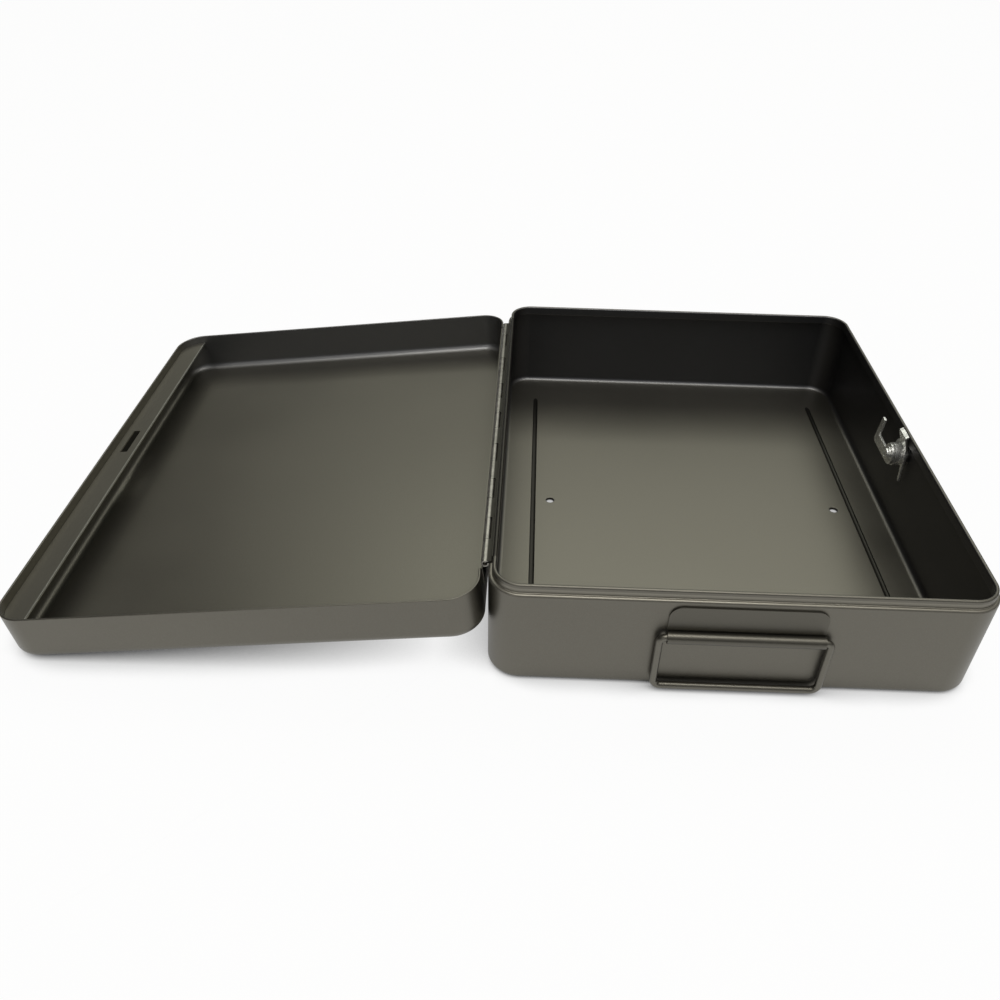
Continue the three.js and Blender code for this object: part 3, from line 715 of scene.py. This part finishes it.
def lock_cam(name):
    """A round hub with a square hole, an arm and an upright finger at its end."""
    arm_end = LOCK.y + CAM_REACH
    arm_low = LOCK.z - CAM_HUB
    hub_start = math.degrees(math.asin(CAM_ARM_TOP / CAM_HUB))
    outline = [
        *arc(LOCK.y, LOCK.z, CAM_HUB, 90, 270, ROUND_SIDES // 2),
        *arc(arm_end - CAM_ELBOW, arm_low + CAM_ELBOW, CAM_ELBOW, 270, 360),
        (LOCK.y + FINGER_OUTER, LOCK.z + FINGER_RISE),
        (LOCK.y + FINGER_INNER, LOCK.z + FINGER_RISE),
        (LOCK.y + FINGER_ROOT, LOCK.z + CAM_ARM_TOP),
        *arc(LOCK.y, LOCK.z, CAM_HUB, hub_start, HUB_END_DEGREES),
    ]
    piece = pushed(name, "X", outline, CAM_INNER_X, CAM_OUTER_X)
    hole = STUB_HALF + STUB_GAP
    low, high = CAM_INNER_X - OVERRUN, CAM_OUTER_X + OVERRUN
    cut(piece, rounded_box("square", "X", (LOCK.y, LOCK.z), (hole, hole), low, high, CAM_SQUARE_ROUND))
    return smoothed(piece, CAM_BEVEL)


def lock_washer(name):
    hole = SCREW_RADIUS + SCREW_GAP
    profile = [
        (hole, WASHER_INNER_X),
        (WASHER_RADIUS, WASHER_INNER_X),
        (WASHER_RADIUS, WASHER_OUTER_X),
        (hole, WASHER_OUTER_X),
    ]
    return smoothed(turned(name, "X", LOCK_LINE, profile), WASHER_BEVEL)


def lock_cam_screw(name):
    """A domed screw with a cross recess."""
    under = WASHER_INNER_X - STACK_GAP
    crown = under - SCREW_HEAD_HEIGHT
    profile = [
        (COLLAPSED, crown),
        *arc(SCREW_HEAD - SCREW_DOME, crown + SCREW_DOME, SCREW_DOME, 270, 360),
        (SCREW_HEAD, under),
        (SCREW_RADIUS, under),
        (SCREW_RADIUS, SCREW_END_X),
        (COLLAPSED, SCREW_END_X),
    ]
    piece = turned(name, "X", LOCK_LINE, profile)
    centre = (LOCK.y, LOCK.z)
    low, high = crown - OVERRUN, crown + RECESS_DEPTH
    wide = (RECESS_LENGTH / 2, RECESS_WIDTH / 2)
    for half in (wide, wide[::-1]):
        cut(piece, rounded_box("recess", "X", centre, half, low, high, RECESS_ROUND))
    return smoothed(piece, SCREW_BEVEL)


def lock_spring(name):
    """A coil of thin wire in the place of the plain rod that the frame holds."""
    low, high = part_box(name.removeprefix("coiled_"))
    centre = (low + high) / 2
    reach = (high.x - low.x) / 2 - SPRING_WIRE
    length = high.z - low.z - 2 * SPRING_WIRE
    steps = SPRING_TURNS * SPRING_TURN_STEPS
    coil = bpy.data.curves.new(name, "CURVE")
    coil.dimensions = "3D"
    coil.bevel_depth = SPRING_WIRE
    coil.bevel_resolution = SPRING_ROUNDNESS
    coil.use_fill_caps = True
    line = coil.splines.new("POLY")
    line.points.add(steps)
    for step in range(steps + 1):
        share = step / steps
        angle = 2 * math.pi * SPRING_TURNS * share
        place = Vector((reach * math.cos(angle), reach * math.sin(angle), length * (share - 1 / 2)))
        line.points[step].co = (*(centre + place), 1)
    wire = linked(name, coil)
    mesh = evaluated_mesh(wire)
    bpy.data.objects.remove(wire)
    mesh.shade_smooth()
    return linked(name, mesh)


# Finishes: a scale is that of a noise, and most shares make a lighter or darker tone of a colour

WHITE = (1, 1, 1)
PAINT = (0.149, 0.141, 0.118)
# Painted shade for the case's inner walls, painted light for the lid's end walls
SIDE_WALL_SHADE = (0.080, 0.077, 0.079)
BACK_WALL_SHADE = (0.118, 0.120, 0.128)
LID_WALL_LIGHT = (0.215, 0.217, 0.222)
RAW_STEEL_HIGHLIGHT = (0.5, 0.5, 0.45)
BARREL_STEEL = (0.36, 0.345, 0.31)
ZINC = (0.85, 0.85, 0.82)
BRASS = (0.62, 0.46, 0.2)
SPRING_STEEL = (0.5, 0.5, 0.49)
ALONG_X = Vector((1, 0, 0))
ALONG_Y = Vector((0, 1, 0))
NOISE_RANGE = (0.3, 0.7)
NOISE_DETAIL = 3
FULL_RANGE = (0, 1)

# Paint
PAINT_METALLIC = 0.92
PAINT_ROUGHNESS = 0.4
PLATE_SHARE = 0.76
# Painted light: the lid's strip takes a lighter tone of the paint
STRIP_LIGHT_SHARE = 1.45
# Painted shade: the case leaf's paint is tinted far darker
CASE_LEAF_SHADE_SHARE = 0.28
LID_LEAF_SHARE = 0.9
CLOUD_SCALE = 9
CLOUD_DETAIL = 4
CLOUD_SHARES = (0.93, 1.07)
CLOUD_ROUGHNESS = 0.03
GRAIN_SCALE = 2600
GRAIN_DETAIL = 2
GRAIN_SHARES = (0.86, 1.14)
GRAIN_RANGE = (0.35, 0.65)
GRAIN_ROUGHNESS = 0.02
WORN_EDGE_HIGHLIGHT = 0.5 * MM
WORN_EDGE_HIGHLIGHT_SHARE = 1.5
WORN_EDGE_HIGHLIGHT_COVER = 0.35
PEEL_SCALE = 420
PEEL_DETAIL = 2
PEEL_GRAIN_SHARE = 0.4
PEEL_DEPTH = 0.012 * MM

# Painted light and shade of the case, the lid and its strip, and the strip's raw edge
WALL_DEPTH_SHARE = 0.9
NECK_LIGHT_SHARE = 1.5
NECK_LIGHT_FADE = 0.2 * MM
SUNK_SHADE_SHARE = 0.2
SUNK_LOW = 0.15 * MM
SUNK_TOP_GAP = 0.1 * MM
SUNK_FADE = 0.05 * MM
SUNK_SIDE_FADE = 0.1 * MM
HINGE_RIM_SHADE_SHARE = 0.35
HINGE_RIM_REACH = 2.5 * MM
HINGE_RIM_FADE = 0.5 * MM
HINGE_RIM_END_FADE = 1 * MM
RAW_EDGE_HIGHLIGHT_REACH = 0.75 * MM
RAW_EDGE_HIGHLIGHT_FADE = 0.15 * MM
STRIP_FLANGE_SHADE_SHARE = 0.12
STRIP_FLANGE_REACH = 4.6 * MM
STRIP_FLANGE_FADE = 0.4 * MM

# Metal
LINE_ROUGHNESS = 0.06
LINE_DEPTH = 0.01 * MM
STAIN_DETAIL = 5
STAIN_RANGE = (0.4, 0.68)
STAIN_SHARES = (1.05, 0.72)
STAIN_ROUGHNESS = 0.1
METAL_EDGE = 0.25 * MM
METAL_EDGE_SHARE = 1.25
BARREL_ROUGHNESS = 0.36
BARREL_LINE_SCALE = 900
BARREL_STRETCH = (3, 0.3, 3)
BARREL_STAIN_SCALE = 240
BARREL_STAIN_SHARES = (1.05, 0.75)
BARREL_EDGE = 0.2 * MM
BARREL_EDGE_SHARE = 1.15
BARREL_WORN_PAST = 0.02 * MM
BARREL_FADE = 0.25 * MM
LEAF_ROUGHNESS = 0.12
METALS = {
    "bright_zinc": {
        "base": ZINC,
        "metallic": 0.85,
        "roughness": 0.26,
        "line_scale": 1500,
        "stretch": (1, 1, 0.25),
        "stain_scale": 420,
    },
    "wafer_brass": {
        "base": BRASS,
        "metallic": 1,
        "roughness": 0.3,
        "line_scale": 2000,
        "stretch": (1, 0.3, 1),
        "stain_scale": 700,
    },
    "spring_steel": {
        "base": SPRING_STEEL,
        "metallic": 1,
        "roughness": 0.3,
        "line_scale": 3000,
        "stretch": (1, 1, 1),
        "stain_scale": 900,
    },
}

# Edge finder
EDGE_SAMPLES = 6
EDGE_RANGE = (0.9, 0.995)


def tinted(base, share):
    return tuple(channel * share for channel in base)


class Finish:
    """A node material around one Principled shader, in the object's own coordinates."""

    def __init__(self, name, base, metallic, roughness):
        self.material = bpy.data.materials.new(name)
        self.material.use_nodes = True
        self.material.diffuse_color = (*base, 1)
        self.tree = self.material.node_tree
        self.shader = self.tree.nodes["Principled BSDF"]
        self.shader.inputs["Metallic"].default_value = metallic
        self.shader.inputs["Roughness"].default_value = roughness
        self.coordinates = self.tree.nodes.new("ShaderNodeTexCoord").outputs["Object"]

    def feed(self, sockets, values):
        """Gives each socket its value, or a link from an output."""
        for socket, value in zip(sockets, values):
            if isinstance(value, bpy.types.NodeSocket):
                self.tree.links.new(value, socket)
            else:
                socket.default_value = value

    def noise(self, scale, detail=NOISE_DETAIL, stretch=(1, 1, 1)):
        mapping = self.tree.nodes.new("ShaderNodeMapping")
        mapping.inputs["Scale"].default_value = stretch
        noise = self.tree.nodes.new("ShaderNodeTexNoise")
        noise.inputs["Scale"].default_value = scale
        noise.inputs["Detail"].default_value = detail
        self.tree.links.new(self.coordinates, mapping.inputs["Vector"])
        self.tree.links.new(mapping.outputs["Vector"], noise.inputs["Vector"])
        return noise.outputs["Fac"]

    def spread(self, value, low, high, source=NOISE_RANGE):
        """Maps a source range of the value to run from low to high, and holds it there beyond."""
        node = self.tree.nodes.new("ShaderNodeMapRange")
        node.inputs["From Min"].default_value, node.inputs["From Max"].default_value = source
        node.inputs["To Min"].default_value, node.inputs["To Max"].default_value = low, high
        self.tree.links.new(value, node.inputs["Value"])
        return node.outputs["Result"]

    def maths(self, operation, *values):
        node = self.tree.nodes.new("ShaderNodeMath")
        node.operation = operation
        self.feed(node.inputs, values)
        return node.outputs["Value"]

    def vector_maths(self, operation, *values, result="Vector"):
        node = self.tree.nodes.new("ShaderNodeVectorMath")
        node.operation = operation
        self.feed(node.inputs, values)
        return node.outputs[result]

    def mixed(self, share, first, second):
        """A mix of two, each of them a colour or an output."""
        node = self.tree.nodes.new("ShaderNodeMix")
        node.data_type = "RGBA"
        self.tree.links.new(share, node.inputs["Factor"])
        values = [(*colour, 1) if isinstance(colour, tuple) else colour for colour in (first, second)]
        self.feed([socket for socket in node.inputs if socket.type == "RGBA"], values)
        return [socket for socket in node.outputs if socket.type == "RGBA"][0]

    def toned(self, share, base, shares):
        """A mix of two tones of one colour."""
        return self.mixed(share, tinted(base, shares[0]), tinted(base, shares[1]))

    def edges(self, radius):
        """Near 1 on edges that are rounded at this radius or sharper, 0 on flats."""
        soft = self.tree.nodes.new("ShaderNodeBevel")
        soft.samples = EDGE_SAMPLES
        soft.inputs["Radius"].default_value = radius
        true = self.tree.nodes.new("ShaderNodeNewGeometry")
        normals = (soft.outputs["Normal"], true.outputs["Normal"])
        return self.spread(self.vector_maths("DOT_PRODUCT", *normals, result="Value"), 1, 0, EDGE_RANGE)

    def near_line(self, point, reach, fade):
        """1 within this reach of the line along Y through a point, 0 past the fade."""
        offset = self.vector_maths("SUBTRACT", self.coordinates, point)
        flat = self.vector_maths("MULTIPLY", offset, (1, 0, 1))
        length = self.vector_maths("LENGTH", flat, result="Value")
        return self.spread(length, 1, 0, (reach, reach + fade))

    def within(self, axis, low, high, fade):
        """1 where the distance from the middle along an axis lies between two values, 0 past the fade."""
        split = self.tree.nodes.new("ShaderNodeSeparateXYZ")
        self.tree.links.new(self.coordinates, split.inputs["Vector"])
        distance = self.maths("ABSOLUTE", split.outputs[axis])
        rise = self.spread(distance, 0, 1, (low - fade, low))
        fall = self.spread(distance, 1, 0, (high, high + fade))
        return self.maths("MULTIPLY", rise, fall)

    def inward(self, axis, depth):
        """1 on walls that face the middle along an axis from this far off, 0 on faces turned away."""
        geometry = self.tree.nodes.new("ShaderNodeNewGeometry")
        level = self.vector_maths("MULTIPLY", self.coordinates, -axis)
        facing = self.vector_maths("DOT_PRODUCT", level, geometry.outputs["Normal"], result="Value")
        return self.spread(facing, 0, 1, (0, depth))

    def bump(self, height, distance):
        node = self.tree.nodes.new("ShaderNodeBump")
        node.inputs["Distance"].default_value = distance
        node.inputs["Strength"].default_value = 1
        self.tree.links.new(height, node.inputs["Height"])
        self.tree.links.new(node.outputs["Normal"], self.shader.inputs["Normal"])

    def colour(self, output):
        self.tree.links.new(output, self.shader.inputs["Base Color"])

    def rough(self, *outputs):
        """Makes the roughness the sum of two outputs."""
        self.tree.links.new(self.maths("ADD", *outputs), self.shader.inputs["Roughness"])


def case_shade(finish, body, base):
    """Painted shade and light: greyer, darker inner walls and dark grooves, holes and rim beside the hinge as
    painted shade, and a lighter neck as painted light.
    """
    # Painted light: the neck is lighter than the rest of the paint.
    neck = finish.within("Z", SHELF - SHELF_EDGE / 2, RIM_HEIGHT - HEM, NECK_LIGHT_FADE)
    body = finish.mixed(neck, body, tinted(base, NECK_LIGHT_SHARE))
    # Painted shade: the case's inner walls take darker, greyer tones, the side walls darkest.
    body = finish.mixed(finish.inward(ALONG_Y, WALL_DEPTH_SHARE * HALF_DEPTH), body, BACK_WALL_SHADE)
    body = finish.mixed(finish.inward(ALONG_X, WALL_DEPTH_SHARE * HALF_WIDTH), body, SIDE_WALL_SHADE)
    # Painted shade: groove floors and hole walls below the floor's face are darker.
    sunk = finish.within("Z", SUNK_LOW, FLOOR_SHEET - SUNK_TOP_GAP, SUNK_FADE)
    for axis, half in (("X", HALF_WIDTH), ("Y", HALF_DEPTH)):
        over_floor = finish.within(axis, 0, half - 2 * BASE_EDGE, SUNK_SIDE_FADE)
        sunk = finish.maths("MULTIPLY", sunk, over_floor)
    body = finish.mixed(sunk, body, tinted(base, SUNK_SHADE_SHARE))
    # Painted shade: the hem and rim along the hinge leaf are darker.
    hem = (-HALF_WIDTH + NECK_INSET + HEM / 2, 0, RIM_HEIGHT - HEM / 2)
    rim = finish.near_line(hem, HINGE_RIM_REACH, HINGE_RIM_FADE)
    beside_leaf = finish.within("Y", 0, LEAF_LENGTH / 2, HINGE_RIM_END_FADE)
    return finish.mixed(finish.maths("MULTIPLY", rim, beside_leaf), body, tinted(base, HINGE_RIM_SHADE_SHARE))


def lid_shade(finish, body, base):
    """Painted light: lighter and greyer inside the walls at the ends of the hinge."""
    return finish.mixed(finish.inward(ALONG_Y, WALL_DEPTH_SHARE * HALF_DEPTH), body, LID_WALL_LIGHT)


def strip_shade(finish, body, base):
    """A raw sheared edge along the ledge's free side, lighter as a painted highlight too, and a flange that stays
    dark under the slot as painted shade.
    """
    edge = LID_TURN @ Vector((STRIP_FAR - STRIP_WIDTH, 0, STRIP_LOW + STRIP_SHEET / 2))
    flange = LID_TURN @ Vector((STRIP_FAR - STRIP_SHEET / 2, 0, STRIP_LOW + STRIP_FLANGE / 2))
    # Raw steel colour along the free edge, partly a painted highlight.
    body = finish.mixed(finish.near_line(edge, RAW_EDGE_HIGHLIGHT_REACH, RAW_EDGE_HIGHLIGHT_FADE), body, RAW_STEEL_HIGHLIGHT)
    # Painted shade: the flange seen through the slot is darkened.
    dark = finish.near_line(flange, STRIP_FLANGE_REACH, STRIP_FLANGE_FADE)
    return finish.mixed(dark, body, tinted(base, STRIP_FLANGE_SHADE_SHARE))


def paint(name, base, shade=None):
    """Satin stoving paint: fine peel, soft clouds of tone, lighter on edges as worn paint and as a painted
    highlight.
    """
    finish = Finish(name, base, PAINT_METALLIC, PAINT_ROUGHNESS)
    cloud = finish.spread(finish.noise(CLOUD_SCALE, CLOUD_DETAIL), 0, 1)
    grain = finish.noise(GRAIN_SCALE, GRAIN_DETAIL)
    tone = finish.toned(cloud, base, CLOUD_SHARES)
    speck = finish.toned(finish.spread(grain, 0, 1), base, GRAIN_SHARES)
    body = finish.mixed(finish.spread(grain, *GRAIN_RANGE), tone, speck)
    if shade:
        body = shade(finish, body, base)
    # Lighter edges: partly worn paint, partly a painted highlight.
    worn = finish.maths("MULTIPLY", finish.edges(WORN_EDGE_HIGHLIGHT), WORN_EDGE_HIGHLIGHT_COVER)
    finish.colour(finish.mixed(worn, body, tinted(base, WORN_EDGE_HIGHLIGHT_SHARE)))
    low, high = PAINT_ROUGHNESS - CLOUD_ROUGHNESS, PAINT_ROUGHNESS + CLOUD_ROUGHNESS
    uneven = finish.spread(cloud, low, high, FULL_RANGE)
    finish.rough(uneven, finish.spread(grain, -GRAIN_ROUGHNESS, GRAIN_ROUGHNESS))
    fine = finish.maths("MULTIPLY", grain, PEEL_GRAIN_SHARE)
    finish.bump(finish.maths("ADD", finish.noise(PEEL_SCALE, PEEL_DETAIL), fine), PEEL_DEPTH)
    return finish.material


def brushed(name, base, metallic, roughness, line_scale, stretch, stain_scale):
    """Bare or plated metal with fine lines one way, dull stains and bright worn edges."""
    finish = Finish(name, base, metallic, roughness)
    lines = finish.noise(line_scale, stretch=stretch)
    stain = finish.spread(finish.noise(stain_scale, STAIN_DETAIL), 0, 1, STAIN_RANGE)
    body = finish.toned(stain, base, STAIN_SHARES)
    finish.colour(finish.mixed(finish.edges(METAL_EDGE), body, tinted(base, METAL_EDGE_SHARE)))
    uneven = finish.spread(lines, roughness - LINE_ROUGHNESS, roughness + LINE_ROUGHNESS)
    finish.rough(uneven, finish.spread(stain, 0, STAIN_ROUGHNESS, FULL_RANGE))
    finish.bump(lines, LINE_DEPTH)
    return finish.material


def worn_barrel(name, painted):
    """Painted leaves whose rolled knuckles have worn bare."""
    finish = Finish(name, BARREL_STEEL, 1, BARREL_ROUGHNESS)
    lines = finish.noise(BARREL_LINE_SCALE, stretch=BARREL_STRETCH)
    stain = finish.spread(finish.noise(BARREL_STAIN_SCALE, STAIN_DETAIL), 0, 1, STAIN_RANGE)
    bare = finish.toned(stain, BARREL_STEEL, BARREL_STAIN_SHARES)
    bare = finish.mixed(finish.edges(BARREL_EDGE), bare, tinted(BARREL_STEEL, BARREL_EDGE_SHARE))
    worn = finish.near_line(HINGE, BARREL_RADIUS + BARREL_WORN_PAST, BARREL_FADE)
    finish.colour(finish.mixed(worn, painted, bare))
    uneven = finish.spread(lines, BARREL_ROUGHNESS - LINE_ROUGHNESS, BARREL_ROUGHNESS + LINE_ROUGHNESS)
    finish.rough(uneven, finish.spread(worn, LEAF_ROUGHNESS, 0, FULL_RANGE))
    finish.bump(lines, LINE_DEPTH)
    return finish.material


FINISHES = {
    "gunmetal_paint": paint("gunmetal_paint", PAINT),
    # The case leaf's paint is much darker, as painted shade beside the barrel.
    "hinge_steel": worn_barrel("hinge_steel", tinted(PAINT, CASE_LEAF_SHADE_SHARE)),
    **{name: brushed(name, **values) for name, values in METALS.items()},
}
OWN_FINISHES = {
    "case_shell": paint("case_paint_with_light_and_shade", PAINT, case_shade),
    "lid_shell": paint("lid_paint_and_light", PAINT, lid_shade),
    # Painted light: the strip is a lighter tone of the same paint, with its own painted highlight and shade.
    "lid_lock_strip": paint("strip_paint_light_and_shade", tinted(PAINT, STRIP_LIGHT_SHARE), strip_shade),
    "handle_plate": paint("plate_paint", tinted(PAINT, PLATE_SHARE)),
    "hinge_leaf_lid": worn_barrel("lid_leaf_steel", tinted(PAINT, LID_LEAF_SHARE)),
}

# Pieces

WAFERS = 5
SLOTS = {part["node"]: part["material_slot"] for part in frame["record"]["subparts"]}
BODY_OF = {
    node: body for body, nodes in frame["record"]["behaviour"]["bodies"].items() for node in nodes
}
BUILDERS = {
    "case_shell": case_shell,
    "lid_shell": lid_shell,
    "lid_lock_strip": lid_lock_strip,
    "hinge_leaf_case": hinge_leaf_case,
    "hinge_leaf_lid": hinge_leaf_lid,
    "hinge_pin": hinge_pin,
    "handle_plate": handle_plate,
    "handle_bail": handle_bail,
    "lock_housing": lock_housing,
    "lock_plug": lock_plug,
    "lock_clip": lock_clip,
    "lock_cam": lock_cam,
    "lock_washer": lock_washer,
    "lock_cam_screw": lock_cam_screw,
}


def coat(piece, material):
    piece.data.materials.clear()
    piece.data.materials.append(material)


def dressed(name, node, build):
    piece = build(name)
    coat(piece, OWN_FINISHES.get(node, FINISHES[SLOTS[node]]))
    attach(piece, BODY_OF[node])
    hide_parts(node)


for node, build in BUILDERS.items():
    dressed(f"formed_{node}", node, build)
for wafer in range(1, WAFERS + 1):
    dressed(f"coiled_lock_spring_{wafer}", f"lock_spring_{wafer}", lock_spring)
    coat(frame["nodes"][f"lock_wafer_{wafer}"], FINISHES["wafer_brass"])

# Stage: a pale floor that stays white to the eye and in reflections, with a soft shadow painted into its glow by
# occlusion and painted shade under the case

FLOOR_REACH = 9
FLOOR_SHARE = 0.86
FLOOR_CLOUD_SCALE = 1.5
FLOOR_CLOUD_SHARES = (0.85, 0.87)
FLOOR_ROUGHNESS = 0.7
FLOOR_GLOSS = 0.1
FLOOR_GLOW_SHARE = 0.93
FLOOR_SHADE_REACH = 30 * MM
FLOOR_SHADE_SAMPLES = 24
FLOOR_SHADE_RANGE = (0.1, 0.7)
UNDER_CASE_SHADE_SHARE = 0.53
UNDER_CASE_FADE = 1 * MM


def direct_rays(finish):
    """1 for camera, glossy and transmission rays, 0 for the rest."""
    path = finish.tree.nodes.new("ShaderNodeLightPath")
    total = path.outputs["Is Camera Ray"]
    for ray in ("Is Glossy Ray", "Is Transmission Ray"):
        total = finish.maths("MAXIMUM", total, path.outputs[ray])
    return total


def floor_material():
    finish = Finish("pale_floor", tinted(WHITE, FLOOR_SHARE), 0, FLOOR_ROUGHNESS)
    tree = finish.tree
    finish.shader.inputs["Specular IOR Level"].default_value = FLOOR_GLOSS
    cloud = finish.spread(finish.noise(FLOOR_CLOUD_SCALE), 0, 1)
    finish.colour(finish.toned(cloud, WHITE, FLOOR_CLOUD_SHARES))
    shade = tree.nodes.new("ShaderNodeAmbientOcclusion")
    shade.samples = FLOOR_SHADE_SAMPLES
    shade.inputs["Distance"].default_value = FLOOR_SHADE_REACH
    open_floor = finish.spread(shade.outputs["AO"], 0, 1, FLOOR_SHADE_RANGE)
    # Painted shade: the floor's glow is dimmed under the case's footprint, as seen through the floor holes.
    covered_x = finish.within("X", 0, HALF_WIDTH - GROOVE_INSET, UNDER_CASE_FADE)
    covered_y = finish.within("Y", 0, HALF_DEPTH - GROOVE_INSET, UNDER_CASE_FADE)
    covered = finish.maths("MULTIPLY", covered_x, covered_y)
    under_case = finish.spread(covered, 1, UNDER_CASE_SHADE_SHARE, FULL_RANGE)
    shadow = finish.maths("MULTIPLY", open_floor, under_case)
    share = finish.maths("MULTIPLY", direct_rays(finish), FLOOR_GLOW_SHARE)
    glow = tree.nodes.new("ShaderNodeEmission")
    mix = tree.nodes.new("ShaderNodeMixShader")
    tree.links.new(shadow, glow.inputs["Strength"])
    finish.feed(mix.inputs, (share, finish.shader.outputs["BSDF"], glow.outputs["Emission"]))
    tree.links.new(mix.outputs["Shader"], tree.nodes["Material Output"].inputs["Surface"])
    return finish.material


def stage_floor():
    corners = [Vector((x, y, 0)) * FLOOR_REACH for x, y in ((-1, -1), (1, -1), (1, 1), (-1, 1))]
    floor = mesh_object("floor", corners, [(0, 1, 2, 3)])
    if floor.data.polygons[0].normal.z < 0:
        floor.data.flip_normals()
    coat(floor, floor_material())


stage_floor()

# Light: shares of the world's strength, which rises with height and towards the right

SKY_SHARES = (0.04, 0.62)
SKY_RANGE = (0.25, 0.9)
SIDE_SHARES = (0.3, 1.35)
SIDE_RANGE = (-0.8, 0.5)
ROOM_COLOUR = (1, 0.99, 0.96)
PANELS = {
    "back_panel": {
        "place": (0.12, 2.5, 2.75),
        "aim": (0, 0, 0),
        "width": 3.8,
        "height": 1.8,
        "power": 33,
        "colour": (0.97, 1, 0.9),
    },
    "top_panel": {
        "place": (0, -0.7, 3.2),
        "aim": (0, 0, 0),
        "width": 2.4,
        "height": 1.2,
        "power": 45,
        "colour": (1, 0.99, 0.96),
    },
    "front_panel": {
        "place": (-1.2, -2.6, 1.6),
        "aim": (0, 0, 0.02),
        "width": 1.6,
        "height": 1.2,
        "power": 5,
        "colour": (1, 0.98, 0.95),
    },
}


def smooth_step(tree, value, source, target):
    step = tree.nodes.new("ShaderNodeMapRange")
    step.interpolation_type = "SMOOTHSTEP"
    step.inputs["From Min"].default_value, step.inputs["From Max"].default_value = source
    step.inputs["To Min"].default_value, step.inputs["To Max"].default_value = target
    tree.links.new(value, step.inputs["Value"])
    return step.outputs["Result"]


def world_light():
    """A room that brightens overhead and to the right, and a white background for the eye."""
    world = bpy.data.worlds.new("studio")
    bpy.context.scene.world = world
    world.use_nodes = True
    tree = world.node_tree
    tree.nodes.clear()
    direction = tree.nodes.new("ShaderNodeTexCoord").outputs["Generated"]
    split = tree.nodes.new("ShaderNodeSeparateXYZ")
    overhead = smooth_step(tree, split.outputs["Z"], SKY_RANGE, SKY_SHARES)
    sideways = smooth_step(tree, split.outputs["X"], SIDE_RANGE, SIDE_SHARES)
    strength = tree.nodes.new("ShaderNodeMath")
    strength.operation = "MULTIPLY"
    room = tree.nodes.new("ShaderNodeBackground")
    white = tree.nodes.new("ShaderNodeBackground")
    camera_only = tree.nodes.new("ShaderNodeLightPath").outputs["Is Camera Ray"]
    mix = tree.nodes.new("ShaderNodeMixShader")
    out = tree.nodes.new("ShaderNodeOutputWorld")
    room.inputs["Color"].default_value = (*ROOM_COLOUR, 1)
    white.inputs["Color"].default_value = (*WHITE, 1)
    tree.links.new(direction, split.inputs["Vector"])
    tree.links.new(overhead, strength.inputs[0])
    tree.links.new(sideways, strength.inputs[1])
    tree.links.new(strength.outputs["Value"], room.inputs["Strength"])
    tree.links.new(camera_only, mix.inputs["Fac"])
    tree.links.new(room.outputs["Background"], mix.inputs[1])
    tree.links.new(white.outputs["Background"], mix.inputs[2])
    tree.links.new(mix.outputs["Shader"], out.inputs["Surface"])


def soft_panel(name, place, aim, width, height, power, colour):
    lamp = bpy.data.lights.new(name, "AREA")
    lamp.shape = "RECTANGLE"
    lamp.size = width
    lamp.size_y = height
    lamp.energy = power
    lamp.color = colour
    panel = linked(name, lamp)
    panel.location = place
    panel.rotation_euler = (Vector(aim) - Vector(place)).to_track_quat("-Z", "Y").to_euler()
    panel.visible_camera = False


world_light()
for name, values in PANELS.items():
    soft_panel(name, **values)


# Camera

def aim_camera():
    lens = bpy.data.cameras.new("camera")
    lens.sensor_fit = "HORIZONTAL"
    lens.sensor_width = SENSOR
    lens.lens = FOCAL_PIXELS / IMAGE * SENSOR
    lens.shift_x = (IMAGE / 2 - PRINCIPAL_X) / IMAGE
    lens.shift_y = (PRINCIPAL_Y - IMAGE / 2) / IMAGE
    lens.clip_start = NEAREST
    lens.clip_end = FARTHEST
    level = math.cos(CAMERA_TILT)
    forward = Vector((math.sin(CAMERA_YAW) * level, math.cos(CAMERA_YAW) * level, -math.sin(CAMERA_TILT)))
    right = Vector((math.cos(CAMERA_YAW), -math.sin(CAMERA_YAW), 0))
    down = forward.cross(right)
    cos, sin = math.cos(CAMERA_ROLL), math.sin(CAMERA_ROLL)
    rolled_right = right * cos + down * sin
    rolled_down = down * cos - right * sin
    camera = linked("camera", lens)
    turn = Matrix((rolled_right, -rolled_down, -forward)).transposed().to_4x4()
    camera.matrix_world = Matrix.Translation(CAMERA_PLACE) @ turn
    bpy.context.scene.camera = camera


aim_camera()
bpy.context.scene.view_settings.view_transform = "Standard"
